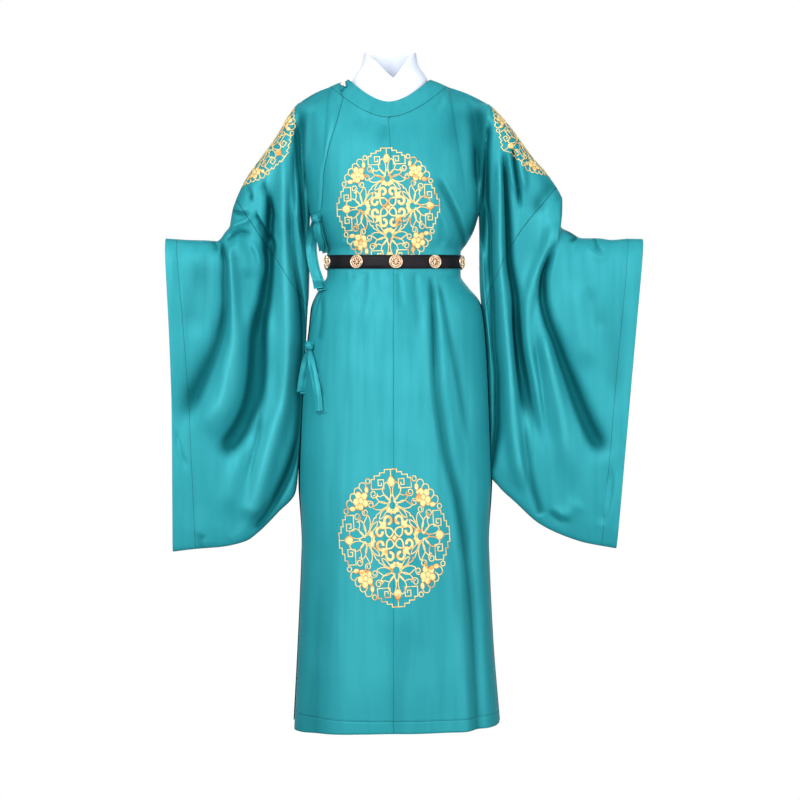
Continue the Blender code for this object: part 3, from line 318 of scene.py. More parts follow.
RIGHT_SLEEVE_BACK_FOLDS = (
    (((-220, -115), (-221, -300), (-228, -520), (-252, -760), (-290, -960)), 14, 24, 18, 0.15, 2, 0.15, 0.03),
    (((-240, -160), (-250, -350), (-275, -560), (-320, -720), (-390, -760)), 8, 22, -25, -0.3, 1.7, 0.25, 0.2),
    (((-206, -140), (-203, -330), (-200, -520)), 7, 12, -14, 0.0, 1.8, 0.2, 0.3),
    (((-345, -320), (-325, -460), (-330, -620), (-380, -730)), 13, 20, 15, -0.2, 2, 0.1, 0.25),
    (((-355, -350), (-352, -500), (-395, -660)), 7, 17, -15, 0.4, 1.7, 0.1, 0.3),
    (((-240, -620), (-262, -800), (-300, -960)), 7, 11, -11, 0.2, 1.8, 0.3, 0.05),
    (((-310, -235), (-285, -300), (-262, -360)), 6, 9, -9, 0.4, 1.6, 0.2, 0.3),
    (((-344, -310), (-318, -318), (-292, -318)), 6, 8, -8, 0.4, 1.7, 0.1, 0.4),
    (((-425, -370), (-415, -560), (-440, -700)), 34, 44, 7, 0.0, 2, 0.3, 0.3),
    (((-262, -400), (-282, -560), (-292, -660)), 7, 10, 7, 0.0, 2, 0.3, 0.4),
)
LEFT_SLEEVE_BACK_FOLDS = (
    (((212, -120), (216, -320), (228, -540), (258, -760), (305, -930)), 14, 24, 18, 0.15, 2, 0.15, 0.03),
    (((230, -160), (243, -360), (272, -560), (322, -720), (400, -765)), 8, 22, -25, -0.3, 1.7, 0.25, 0.2),
    (((199, -140), (198, -330), (208, -520), (210, -700)), 7, 11, -14, 0.0, 1.8, 0.2, 0.3),
    (((350, -315), (318, -440), (322, -610), (375, -730)), 13, 20, 15, 0.2, 2, 0.1, 0.25),
    (((356, -325), (340, -480), (380, -640), (430, -720)), 7, 19, -17, 0.3, 1.7, 0.1, 0.3),
    (((248, -610), (268, -790), (312, -930)), 7, 11, -11, 0.2, 1.8, 0.3, 0.05),
    (((300, -195), (282, -270), (262, -330)), 6, 9, -9, 0.4, 1.6, 0.2, 0.3),
    (((440, -370), (430, -560), (450, -720)), 34, 44, 7, 0.0, 2, 0.3, 0.3),
    (((268, -400), (290, -560), (300, -680)), 7, 10, 7, 0.0, 2, 0.3, 0.4),
)
FRONT_FOLDS = (
    (
        ((77, -407), (79, -467), (84, -618), (104, -778), (132, -896), (150, -1014), (163, -1154),
         (171, -1304), (175, -1400)), 6, 12, -10, -0.35, 1.7, 0.05, 0.0,
    ),
    (((94, -425), (113, -532), (131, -618), (146, -703), (163, -800)), 6, 9, -7, -0.2, 1.8, 0.1, 0.3),
    (((90, -440), (100, -560), (112, -680), (128, -800), (148, -900)), 8, 12, 5, 0.0, 2, 0.2, 0.3),
    (
        ((62, -480), (68, -700), (84, -900), (112, -1050), (138, -1250), (146, -1400)),
        16, 22, 7, 0.0, 2, 0.4, 0.0,
    ),
    (
        ((88, -210), (103, -240), (119, -270), (137, -310), (150, -350), (152, -368)),
        6, 7, -9, 0.3, 1.7, 0.2, 0.1,
    ),
    (((76, -235), (90, -280), (108, -320), (124, -362)), 7, 8, 4, 0.0, 2, 0.3, 0.2),
    (
        ((172, -120), (177, -190), (178, -235), (178, -270), (168, -315), (152, -345)),
        5, 7, -9, 0.2, 1.7, 0.25, 0.1,
    ),
    (((168, -30), (175, -80), (182, -150), (186, -240)), 22, 14, -14, 0.0, 2, 0.3, 0.2),
    (((-188, -50), (-194, -110), (-196, -190), (-186, -270)), 13, 10, -14, 0.0, 2, 0.3, 0.2),
    (((-176, -60), (-172, -120), (-170, -200)), 10, 14, -4, 0.0, 2, 0.15, 0.4),
    (((140, -50), (128, -110), (140, -170)), 24, 26, -5, 0.0, 2, 0.3, 0.4),
    (((109, -20), (96, -60), (80, -90)), 6, 9, -3, 0.2, 1.8, 0.1, 0.4),
    (((-14, -104), (-18, -130), (-24, -150)), 5, 7, -3, 0.3, 1.7, 0.1, 0.4),
    (((0, -412), (2, -460), (2, -540)), 8, 14, 3, 0.0, 2, 0.1, 0.5),
    (((10, -412), (14, -450), (18, -500)), 5, 8, -3, 0.3, 1.8, 0.1, 0.5),
    (((-60, -412), (-62, -460), (-68, -520)), 7, 12, -3, 0.3, 1.8, 0.1, 0.5),
    (((44, -412), (48, -470), (54, -560)), 6, 10, -4, 0.3, 1.8, 0.1, 0.4),
    (((-152, -452), (-150, -500), (-158, -560)), 5, 7, -7, 0.3, 1.6, 0.2, 0.1),
    (((-104, -352), (-96, -310), (-84, -265)), 5, 8, -4, 0.2, 1.8, 0.1, 0.4),
    (((-60, -352), (-58, -325), (-54, -305)), 5, 7, -3, 0.0, 2, 0.1, 0.4),
    (((60, -356), (64, -330), (70, -300)), 5, 7, -4, 0.3, 1.8, 0.1, 0.4),
    (((100, -358), (98, -330), (92, -300)), 4, 6, -4, 0.3, 1.8, 0.1, 0.4),
    (((-90, -700), (-100, -1000), (-112, -1400)), 40, 50, 5, 0.0, 2, 0.5, 0.0),
    (((-150, -900), (-158, -1150), (-166, -1400)), 18, 24, -6, 0.0, 1.9, 0.5, 0.0),
    (((20, -1130), (8, -1250), (-10, -1400)), 26, 34, -4, 0.0, 2, 0.3, 0.0),
    (((188, -1000), (196, -1200), (204, -1400)), 20, 26, 5, 0.0, 2, 0.4, 0.0),
)
BACK_FOLDS = (
    (((-62, -412), (-74, -600), (-92, -900), (-112, -1400)), 9, 24, -17, -0.3, 1.8, 0.08, 0.0),
    (((70, -412), (80, -620), (96, -900), (118, -1400)), 9, 24, -17, 0.3, 1.8, 0.08, 0.0),
    (((-104, -430), (-122, -700), (-150, -1100), (-160, -1400)), 12, 24, 9, 0.0, 2, 0.3, 0.0),
    (((112, -430), (130, -700), (156, -1100), (166, -1400)), 12, 24, 9, 0.0, 2, 0.3, 0.0),
    (((-14, -412), (-18, -620), (-26, -900)), 8, 16, 5, 0.2, 2, 0.1, 0.4),
    (((22, -412), (28, -640), (36, -960)), 9, 18, -7, 0.2, 1.9, 0.1, 0.4),
    (((-130, -150), (-112, -240), (-96, -352)), 13, 10, -9, 0.2, 1.8, 0.3, 0.1),
    (((134, -140), (118, -240), (98, -352)), 13, 10, -9, 0.2, 1.8, 0.3, 0.1),
    (((-60, -230), (-48, -352)), 10, 8, -6, 0.2, 1.8, 0.4, 0.1),
    (((52, -220), (44, -352)), 10, 8, -6, 0.2, 1.8, 0.4, 0.1),
    (((4, -260), (0, -352)), 8, 8, -4, 0.0, 2, 0.4, 0.1),
    (((-150, -70), (-120, -60), (-60, -90)), 14, 22, -4, 0.0, 2, 0.3, 0.4),
)

SLEEVE_FOLDS = {
    "right": (RIGHT_SLEEVE_FRONT_FOLDS, RIGHT_SLEEVE_BACK_FOLDS),
    "left": (LEFT_SLEEVE_FRONT_FOLDS, LEFT_SLEEVE_BACK_FOLDS),
}

# ================================================================ curves and folds


def column(columns, rows, name):
    """One named column of a table, as an array."""
    return np.array([row[columns.index(name)] for row in rows], float)


def read_table(columns, rows, known_at, at, names=None):
    """The named columns of a table, or all of them, read smoothly at any places along known_at."""
    return {name: smooth_read(known_at, column(columns, rows, name), at) for name in names or columns}


def smooth_read(known_at, values, at):
    """A monotone cubic through the known values, so that a smooth run never swings past them."""
    known_at, values, at = (np.asarray(item, float) for item in (known_at, values, at))
    gaps = np.diff(known_at)
    rises = np.diff(values) / gaps
    slopes = np.empty_like(values)
    slopes[0], slopes[-1] = rises[0], rises[-1]
    for i in range(1, len(values) - 1):
        if rises[i - 1] * rises[i] <= 0:
            slopes[i] = 0
        else:
            first = 2 * gaps[i] + gaps[i - 1]
            second = gaps[i] + 2 * gaps[i - 1]
            slopes[i] = (first + second) / (first / rises[i - 1] + second / rises[i])
    place = np.clip(np.searchsorted(known_at, at) - 1, 0, len(gaps) - 1)
    t = np.clip((at - known_at[place]) / gaps[place], 0, 1)
    return (
        values[place] * (1 + 2 * t) * (1 - t) ** 2
        + slopes[place] * gaps[place] * t * (1 - t) ** 2
        + values[place + 1] * (3 - 2 * t) * t**2
        - slopes[place + 1] * gaps[place] * (1 - t) * t**2
    )


def ease(value):
    """0 below 0, 1 above 1, and a smooth step between."""
    value = np.clip(value, 0, 1)
    return value * value * (3 - 2 * value)


def unit(vectors):
    return vectors / np.maximum(np.linalg.norm(vectors, axis=-1, keepdims=True), 1e-9)


def run_of(points):
    """Length from the first point to each point of a line."""
    steps = np.linalg.norm(np.diff(points, axis=0), axis=-1)
    return np.concatenate([np.zeros((1,) + steps.shape[1:]), np.cumsum(steps, axis=0)])


def resample(points, count):
    """A smooth line of count points through a few."""
    points = np.array(points, float)
    run = run_of(points)
    at = np.linspace(0, run[-1], count)
    return np.stack([smooth_read(run, points[:, axis], at) for axis in range(points.shape[1])], axis=1)


def fold_push(folds, x, z):
    """How far the folds push a layer out at each (x, z). Negative is inwards."""
    flat = np.stack([np.ravel(x), np.ravel(z)], axis=1)
    push = np.zeros(len(flat))
    for path, start_width, end_width, height, lean, power, fade_in, fade_out in folds:
        route = resample(path, ROUTE_STEPS * (len(path) - 1) + 1)
        reach = FOLD_REACH * max(start_width, end_width)
        near = np.all((flat > route.min(axis=0) - reach) & (flat < route.max(axis=0) + reach), axis=1)
        if not near.any():
            continue
        steps, run = np.diff(route, axis=0), run_of(route)
        lengths = np.linalg.norm(steps, axis=1)
        away = flat[near][:, None, :] - route[None, :-1, :]
        t = np.clip(np.sum(away * steps, axis=2) / lengths**2, 0, 1)
        gaps = away - t[..., None] * steps
        best = np.argmin(np.sum(gaps**2, axis=2), axis=1)
        rows = np.arange(len(best))
        gap = gaps[rows, best]
        side = np.sign(steps[best, 0] * gap[:, 1] - steps[best, 1] * gap[:, 0])
        share = (run[best] + t[rows, best] * lengths[best]) / run[-1]
        width = start_width + (end_width - start_width) * share
        across = np.linalg.norm(gap, axis=1) / width
        strength = height * np.ones(len(best))
        for part, fade in ((share, fade_in), (1 - share, fade_out)):
            if fade > 0:
                strength *= ease(part / fade)
        tip = lean * side * across * np.exp(-((across / LEAN_REACH) ** 2))
        push[near] += strength * (np.exp(-(across**power)) - LEAN_GAIN * tip)
    return push.reshape(np.shape(x))


def grid_read(grid, i, j, a, b):
    """A grid read between its rows i and i + 1 and its columns j and j + 1, at the shares a and b."""
    rows, columns = grid.shape
    low, high = (
        grid[(i + step) % rows, j % columns] * (1 - b) + grid[(i + step) % rows, (j + 1) % columns] * b
        for step in (0, 1)
    )
    return low * (1 - a) + high * a


def soft_noise(x, z, size_x, size_z, seed):
    """Smooth unevenness between -1 and 1, the same at every run."""
    grid = np.random.default_rng(seed).uniform(-1, 1, NOISE_GRID)
    u, v = np.asarray(x) / size_x + NOISE_SHIFT[0], np.asarray(z) / size_z + NOISE_SHIFT[1]
    i, j = np.floor(u).astype(int), np.floor(v).astype(int)
    return grid_read(grid, i, j, ease(u - i), ease(v - j))


def waves(table, x, z, back):
    """The sum of a table's waves at each (x, z)."""
    return sum(
        height * soft_noise(x, z, size_x, size_z, back_seed if back else front_seed)
        for height, size_x, size_z, front_seed, back_seed in table
    )


# ================================================================ the surfaces of the robe


def ring_sides(height):
    """The body ring's half widths, depths and slit at a height."""
    return read_table(SECTION_COLUMNS, SECTIONS, SECTION_HEIGHTS, height, SECTION_COLUMNS[1:])


def belt_calm(height):
    """0 where the belt holds the cloth flat, 1 away from it."""
    return ease((np.abs(height - BELT_MIDDLE) - BELT_STILL) / BELT_EASE)


def side_fill(height):
    """1 beside the hanging sleeves, where the skirt's sides spread to meet them, and 0 away from them."""
    return ease((SIDE_FILL_TOP - height) / SIDE_FILL_START) * ease((height - SIDE_FILL_LOW) / SIDE_FILL_END)


def body_ring(share, height, back):
    """Points of the front or back half ring at each height. share runs 0 to 1, wearer's right to left."""
    size = ring_sides(height)
    depth = size["back"] if back else size["front"]
    edge_depth = size["slit"] * (BACK_SLIT_SHARE if back else 1.0)
    first = np.arcsin((edge_depth / depth) ** (1 / SIDE_ROUNDNESS))
    angle = first + (math.pi - 2 * first) * share
    extra = BACK_FLARE * size["slit"] / SECTIONS[0][-1] if back else 0.0
    extra = extra + (SIDE_FILL_BACK if back else SIDE_FILL_FRONT) * side_fill(height)
    right, left = size["right"] + extra, size["left"] + extra
    half = right + (left - right) * (1 - np.cos(angle)) / 2
    x = -half * np.cos(angle)
    y = depth * np.clip(np.sin(angle), 0, 1) ** SIDE_ROUNDNESS
    if back:
        return x, y, height + 0 * x
    hem = ease((HEM_FROM - height) / (HEM_FROM - HEM))
    right_side = np.clip(np.cos(angle), 0, 1) ** 2
    return x, -y, height + hem * (HEM_FRONT_RISE - HEM_SIDE_DROP * right_side)


def neck_angle(share):
    """The angle round the neck at which a panel's share of the way across meets it."""
    return (share - NECK_SHARE) / (1 - 2 * NECK_SHARE) * math.pi


def neck_ring(ring, angle):
    """A point on one ring of the standing band. Angle 0 is the wearer's right, 90 degrees is the front."""
    middle_x, half_width, front, back, side_z, front_z, back_z = ring
    dip = 1 - np.abs(np.cos(angle)) ** NECK_DIP
    ahead = np.sin(angle) > 0
    x = middle_x - half_width * np.cos(angle)
    y = -np.sin(angle) * np.where(ahead, front, back)
    z = side_z + dip * (np.where(ahead, front_z, back_z) - side_z)
    return np.stack([x, y, z], axis=-1)


def top_edge(share, back):
    """The shoulder line and the neckline: where the front or back half ends at its top."""
    sign = -1.0 if back else 1.0
    neck = neck_ring(BAND_LOW, sign * np.clip(neck_angle(share), 0, math.pi))
    points = neck
    for table, near, beyond in (
        (RIGHT_SLEEVE, share, share < NECK_SHARE), (LEFT_SLEEVE, 1 - share, share > 1 - NECK_SHARE),
    ):
        tip = np.array([table[0][0], 0.0, table[0][1]])
        part = np.clip(near / NECK_SHARE, 0, 1)[..., None]
        line = tip + (neck - tip) * part + np.array(SHOULDER_BOW) * np.sin(math.pi * part)
        points = np.where(beyond[..., None], line, points)
    return points


def sleeve_points(table, folds, station, down, back):
    """Points of one layer of a sleeve. down runs 0 to 1 from the top fold to the low seam."""
    size = read_table(STATION_COLUMNS, table, np.arange(len(table)), station)
    x = size["top_x"] + (size["low_x"] - size["top_x"]) * down
    x = x + size["bow"] * np.sin(math.pi * down)
    z = size["top_z"] + (size["low_z"] - size["top_z"]) * down
    length = np.hypot(size["low_x"] - size["top_x"], size["low_z"] - size["top_z"])
    reach = down * length / ARM_RADIUS
    arm = np.sqrt(reach) * np.exp((1 - reach) / 2) * np.sqrt(1 - down**6)
    bag = np.clip(np.sin(math.pi * down), 0, 1) ** BAG_ROUNDNESS
    edge = np.clip(np.sin(math.pi * down) * EDGE_STEEPNESS, 0, 1)
    free = ease((station - FREE_FROM) / FREE_REACH)
    push = fold_push(folds, x, z) + free * SOFTNESS * waves(SLEEVE_WAVES, x, z, back)
    depth = size["arm"] * arm + size["bag"] * bag + push * edge
    depth = (depth + np.sqrt(depth**2 + (LEAST_DEPTH * edge) ** 2)) / 2
    # The push comes back without the edge factor, for the satin's painted shade and highlight.
    return np.stack([x, size["middle_y"] + (depth if back else -depth), z], axis=-1), push


def steps_down(count):
    """Shares of the way down a sleeve, closer together at the two folds of the tube."""
    t = np.arange(count + 1) / count
    return EVENNESS * t + (1 - EVENNESS) * (1 - np.cos(math.pi * t)) / 2


def upper_body(share, rise, back):
    """The chest or shoulder blades, between the underarm ring and the top edge."""
    low = np.stack(body_ring(share, np.full(np.shape(share), UNDERARM), back), axis=-1)
    top = top_edge(share, back)
    points = low + (top - low) * rise[..., None]
    at_neck = np.sin(np.clip(neck_angle(share), 0, math.pi))
    round_off = np.clip(1 - rise**3, 0, 1) ** (CHEST_ROUNDNESS + NECK_ROUNDNESS * at_neck)
    points[..., 1] = top[..., 1] + (low[..., 1] - top[..., 1]) * round_off
    for table, folds, near in (
        (RIGHT_SLEEVE, RIGHT_SLEEVE_BACK_FOLDS if back else RIGHT_SLEEVE_FRONT_FOLDS, share),
        (LEFT_SLEEVE, LEFT_SLEEVE_BACK_FOLDS if back else LEFT_SLEEVE_FRONT_FOLDS, 1 - share),
    ):
        armhole, _ = sleeve_points(table, folds, np.zeros(np.shape(share)), 1 - rise, back)
        corner_low = np.array([table[0][2], 0.0, table[0][3]])
        corner_top = np.array([table[0][0], 0.0, table[0][1]])
        straight = corner_low + (corner_top - corner_low) * rise[..., None]
        pull = np.clip(1 - near / ARMHOLE_REACH, 0, 1) ** 2
        pull = pull * (1 - ease(near / ARMHOLE_EDGE) * (1 - ease(rise / ARMHOLE_START)))
        points = points + (armhole - straight) * pull[..., None]
    return points


def plain_body(share, height, rise, back):
    lower = np.stack(body_ring(share, height, back), axis=-1)
    return np.where((rise <= 0)[..., None], lower, upper_body(share, rise, back))


def evened_depth(back):
    """How far a half body's depth changes when it is evened out, on a regular grid of rows and shares."""
    height = np.concatenate([np.linspace(EVEN_FROM, UNDERARM, EVEN_ROWS + 1), np.full(EVEN_ROWS, UNDERARM)])
    rise = np.concatenate([np.zeros(EVEN_ROWS), np.linspace(0, 1, EVEN_ROWS + 1)])
    share = np.linspace(0, 1, EVEN_COLUMNS + 1)
    share, height, rise = np.broadcast_arrays(share[None, :], height[:, None], rise[:, None])
    points = plain_body(share, height, rise, back)
    strength = EVEN_STRENGTH * belt_calm(points[..., 2]) * ease((points[..., 2] - EVEN_FROM) / EVEN_REACH)
    before = points[..., 1]
    y = before.copy()
    for _ in range(EVEN_ROUNDS):
        middle = (y[:-2, 1:-1] + y[2:, 1:-1] + y[1:-1, :-2] + y[1:-1, 2:]) / 4
        y[1:-1, 1:-1] += (middle - y[1:-1, 1:-1]) * strength[1:-1, 1:-1]
    return y - before


EVENED = {}


def evened(share, height, rise, back):
    """The evened depth change at any place on a half body."""
    if back not in EVENED:
        EVENED[back] = evened_depth(back)
    grid = EVENED[back]
    row = np.clip((height - EVEN_FROM) / (UNDERARM - EVEN_FROM), 0, 1) * EVEN_ROWS + rise * EVEN_ROWS
    row, place = np.clip(row, 0, 2 * EVEN_ROWS - 1e-6), np.clip(share * EVEN_COLUMNS, 0, EVEN_COLUMNS - 1e-6)
    i, j = row.astype(int), place.astype(int)
    return grid_read(grid, i, j, row - i, place - j)


def body_points(share, height, rise, back):
    """One half of the body. rise is 0 up to the underarm and then runs to 1 at the top edge."""
    share, height, rise = np.broadcast_arrays(share, height, rise)
    points = plain_body(share, height, rise, back)
    points[..., 1] += evened(share, height, rise, back)
    x, z = points[..., 0].copy(), points[..., 2].copy()
    hold = ease(share / SIDE_CALM) * ease((1 - share) / SIDE_CALM)
    hold = hold * belt_calm(z) * ease((1 - rise) / TOP_CALM)
    push = fold_push(BACK_FOLDS if back else FRONT_FOLDS, x, z)
    push = push + SOFTNESS * waves(BODY_WAVES, x, z, back)
    gather = ease((BELT_GATHER_REACH - np.abs(z - BELT_MIDDLE)) / BELT_GATHER_REACH)
    push = push + gather * BELT_GATHER * waves(GATHER_WAVES, x, z * GATHER_STRETCH, back)
    points[..., 1] += push * hold * (1 if back else -1)
    # The push comes back calmed at the belt and the top, for the satin's painted shade and highlight.
    return points, push * belt_calm(z) * ease((1 - rise) / TOP_CALM)


# ================================================================ cloth meshes


def grid_normals(points, around, outward):
    """Unit normals of a grid of points. outward is a direction, or None for away from the grid's middle."""
    if around:
        along = np.roll(points, -1, axis=1) - np.roll(points, 1, axis=1)
    else:
        along = np.gradient(points, axis=1)
    normal = unit(np.cross(along, np.gradient(points, axis=0)))
    away = points - points.mean(axis=1, keepdims=True) if outward is None else np.array(outward, float)
    return normal if np.sum(normal * away) > 0 else -normal


def turned_in(points, normals, edge_rows):
    """Rows that carry a grid's first row round its edge and back inside. edge_rows says how deep they reach."""
    beyond = unit(points[0] - points[1])
    rows = [points[0] + beyond * CLOTH_THICK * EDGE_OUT - normals[0] * CLOTH_THICK * EDGE_BACK]
    rows += [points[k] - normals[k] * CLOTH_THICK for k in edge_rows]
    return np.stack(rows[::-1])


def turned_in_last(points, normals, edge_rows):
    """The same for a grid's last row."""
    return turned_in(points[::-1], normals[::-1], edge_rows)[::-1]


def turned_in_side(points, outward, edge_columns):
    """The same for a grid's first column."""
    normals = grid_normals(points, False, outward)
    return np.swapaxes(turned_in(np.swapaxes(points, 0, 1), np.swapaxes(normals, 0, 1), edge_columns), 0, 1)


def with_strip(points, layers, strip, axis=0, after=False):
    """Puts a plain strip before or after a grid: far from any seam or stitch, and moved by no fold."""
    def put(first, second):
        return np.concatenate([second, first] if after else [first, second], axis=axis)

    blank = np.full(strip.shape[:2], FAR)
    layers = {name: put(0 * blank if name == "push" else blank, values) for name, values in layers.items()}
    return put(strip, points), layers


def new_mesh(name, points, faces):
    mesh = bpy.data.meshes.new(name)
    mesh.from_pydata((points * MM).tolist(), [], faces)
    return mesh


def store(mesh, **layers):
    """Keeps a number for each point of a mesh, for its material to read."""
    for name, values in layers.items():
        layer = mesh.attributes.new(name, "FLOAT", "POINT")
        layer.data.foreach_set("value", np.concatenate(values).astype(np.float32))


def linked(name, data):
    obj = bpy.data.objects.new(name, data)
    bpy.context.scene.collection.objects.link(obj)
    return obj


class Cloth:
    """Grids of points that become one mesh.

    seam and stitch are each point's distance from a seam or a free edge and from a stitch line, and push says
    how far a fold moves it out. The satin paints shade along seams and free edges, and shade and highlight by
    push.
    """

    def __init__(self):
        self.points, self.faces, self.seam, self.stitch, self.push = [], [], [], [], []
        self.count = 0

    def add(self, points, seam=None, stitch=None, push=None, around=False):
        rows, columns = points.shape[:2]
        index = self.count + np.arange(rows * columns).reshape(rows, columns)
        after = np.roll(index, -1, axis=1) if around else index[:, 1:]
        before = index if around else index[:, :-1]
        quads = np.stack([before[:-1], after[:-1], after[1:], before[1:]], axis=-1)
        self.faces += quads.reshape(-1, 4).tolist()
        self.points.append(points.reshape(-1, 3))
        for kept, values, plain in (
            (self.seam, seam, FAR), (self.stitch, stitch, FAR), (self.push, push, 0.0),
        ):
            kept.append(np.ravel(np.full((rows, columns), plain) if values is None else values))
        self.count += rows * columns

    def mesh(self, name):
        mesh = new_mesh(name, np.concatenate(self.points), self.faces)
        store(mesh, seam=self.seam, stitch=self.stitch, push=self.push)
        return mesh

    def make(self, name, material):
        """The mesh as an object, with its grids joined where they meet and its faces turned outwards."""
        mesh, ahead = self.mesh(name), Vector((0, -1, 0))
        work = bmesh.new()
        work.from_mesh(mesh)
        bmesh.ops.remove_doubles(work, verts=work.verts, dist=MERGE * MM)
        bmesh.ops.recalc_face_normals(work, faces=work.faces)
        foremost = min(work.faces, key=lambda face: -face.calc_center_median().dot(ahead))
        if foremost.normal.dot(ahead) < 0:
            bmesh.ops.reverse_faces(work, faces=work.faces)
        work.to_mesh(mesh)
        work.free()
        return finish_object(name, mesh, material)


def finish_object(name, mesh, material, sharp=60):
    mesh.shade_smooth()
    if sharp is not None:
        mesh.set_sharp_from_angle(angle=math.radians(sharp))
    mesh.materials.append(material)
    return linked(name, mesh)


def ride_and_replace(obj, nodes=()):
    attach(obj, "root")
    if nodes:
        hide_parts(*nodes)


def to_line(points, line):
    """Distance from each point to the nearest of a line's points."""
    nearest = np.full(points.shape[:-1], FAR)
    for spot in line:
        nearest = np.minimum(nearest, np.linalg.norm(points - spot, axis=-1))
    return nearest


def body_rows():
    """Heights and rises of the body's rows, from the hem to the top edge."""
    low = np.linspace(HEM, UNDERARM, LOW_ROWS + 1)
    rise = 1 - steps_down(DOWN_STEPS)[::-1]
    heights = np.concatenate([low, np.full(DOWN_STEPS, UNDERARM)])
    rises = np.concatenate([np.zeros(LOW_ROWS + 1), rise[1:]])
    return heights[:, None], rises[:, None]


def overlap_edge_share(heights, rises):
    """The share at which the overlap's free edge crosses each row."""
    trial = np.linspace(0, 0.5, OVERLAP_TRIALS)[None, :]
    points, _ = body_points(trial, heights, rises, False)
    known = column(OVERLAP_COLUMNS, OVERLAP_EDGE, "height")
    wanted = column(OVERLAP_COLUMNS, OVERLAP_EDGE, "x")
    beyond = points[..., 0] - smooth_read(known, wanted, points[..., 2])
    shares = np.array([np.interp(0, row, trial[0]) for row in beyond])
    shares[points[:, 0, 2] < OVERLAP_SIDE_FROM] = OVERLAP_SIDE_SHARE
    kernel = np.ones(2 * OVERLAP_SMOOTHING + 1) / (2 * OVERLAP_SMOOTHING + 1)
    return np.convolve(np.pad(shares, OVERLAP_SMOOTHING, mode="edge"), kernel, "valid")


def body_grid(cloth, shares, back, centre=None, sink=None, free_edge=False):
    """Adds one body panel: shares is a row of places across for each row up.

    centre is the column of the centre seam, sink how far the panel lies under another, and free_edge says
    that its first column is an edge that hangs free.
    """
    heights, rises = body_rows()
    points, push = body_points(shares, heights, rises, back)
    outward = (0, 1, 0) if back else (0, -1, 0)
    if sink is not None:
        points = points - grid_normals(points, False, outward) * sink[..., None]
    seam = to_line(points, neck_ring(BAND_LOW, np.linspace(0, 2 * math.pi, NECK_STEPS)))
    if centre is not None:
        seam = np.minimum(seam, np.linalg.norm(points - points[:, [centre]], axis=-1) + FAINT)
    # The free edge counts as a seam, so the satin paints a shade line along it.
    if free_edge:
        seam = np.minimum(seam, np.linalg.norm(points - points[:, [0]], axis=-1))
    stitch = points[..., 2] - (HEM + HEM_STITCH + HEM_FRONT_RISE * (not back))
    inside = turned_in(points, grid_normals(points, False, outward), HEM_TURN)
    points, layers = with_strip(points, {"seam": seam, "stitch": stitch, "push": push}, inside)
    if free_edge:
        points, layers = with_strip(points, layers, turned_in_side(points, outward, FREE_TURN), axis=1)
    cloth.add(points, **layers)


def sleeve_stations(table, count, first, last):
    """Stations evenly spaced along the sleeve between two of them."""
    fine = np.linspace(first, last, FINE_STATIONS)
    size = read_table(STATION_COLUMNS, table, np.arange(len(table)), fine)
    middle = np.stack([
        sum(share * size[end + axis] for end, share in SLEEVE_BLEND.items()) for axis in "xz"
    ], axis=1)
    run = run_of(middle)
    return np.interp(np.linspace(0, run[-1], count + 1), run, fine)


def sleeve_ring(table, side, count, first, last):
    """Outer points of a length of sleeve, one closed ring for each station."""
    stations = sleeve_stations(table, count, first, last)
    grid, down = np.meshgrid(stations, steps_down(DOWN_STEPS), indexing="ij")
    front, front_push = sleeve_points(table, SLEEVE_FOLDS[side][0], grid, down, False)
    behind, back_push = sleeve_points(table, SLEEVE_FOLDS[side][1], grid, down, True)
    ring = np.concatenate([front, behind[:, -2:0:-1]], axis=1)
    return ring, np.concatenate([front_push, back_push[:, -2:0:-1]], axis=1), stations


def sleeve_seams(ring, joined_ring):
    """Distance from the seam between two lengths of sleeve, or from the one along the sleeve's low fold."""
    along = np.linalg.norm(ring - ring[:, [DOWN_STEPS]], axis=-1)
    return np.minimum(np.linalg.norm(ring - joined_ring, axis=-1), along)


def add_upper_sleeve(cloth, table, side):
    ring, push, _ = sleeve_ring(table, side, UPPER_STATIONS, 0, SLEEVE_SEAM)
    cloth.add(ring, sleeve_seams(ring, ring[-1]), push=push, around=True)


def make_lower_sleeve(table, side, material):
    ring, push, stations = sleeve_ring(table, side, LOWER_STATIONS, SLEEVE_SEAM, len(table) - 1)
    along = run_of(ring)
    stitch = along - np.stack([np.interp(CUFF_STITCH[side], stations, line) for line in along.T])[None, :]
    inside = turned_in_last(ring, grid_normals(ring, True, None), CUFF_TURN)
    layers = {"seam": sleeve_seams(ring, ring[0]), "stitch": stitch, "push": push}
    points, layers = with_strip(ring, layers, inside, after=True)
    cloth = Cloth()
    cloth.add(points, **layers, around=True)
    return cloth.make("sleeve_lower_" + side, material)


# ================================================================ embroidery


def corners(points, step):
    """A run of points along straight sides, at most a step apart and with every corner kept."""
    points = np.array(points, float)
    out = [points[:1]]
    for start, end in zip(points[:-1], points[1:]):
        count = max(1, int(np.ceil(np.linalg.norm(end - start) / step)))
        out.append(start + (end - start) * (np.arange(1, count + 1) / count)[:, None])
    return np.concatenate(out)


def rounded(points, step, closed=False):
    """A smooth curve through the points, with its points about a step apart."""
    points = np.array(points, float)
    if closed:
        points = np.concatenate([points, points[:1]])
    before = points[-2] if closed else 2 * points[0] - points[1]
    after = points[1] if closed else 2 * points[-1] - points[-2]
    whole = np.concatenate([[before], points, [after]])
    out = []
    for a, b, c, d in zip(whole[:-3], whole[1:-2], whole[2:-1], whole[3:]):
        t = (np.arange(8) / 8)[:, None]
        out.append(0.5 * (
            2 * b + (c - a) * t + (2 * a - 5 * b + 4 * c - d) * t**2 + (3 * b - a - 3 * c + d) * t**3
        ))
    fine = np.concatenate([*out, points[-1:]])
    run = run_of(fine)
    at = np.linspace(0, run[-1], max(3, int(np.ceil(run[-1] / step)) + 1))
    return np.stack([np.interp(at, run, fine[:, axis]) for axis in range(2)], axis=1)


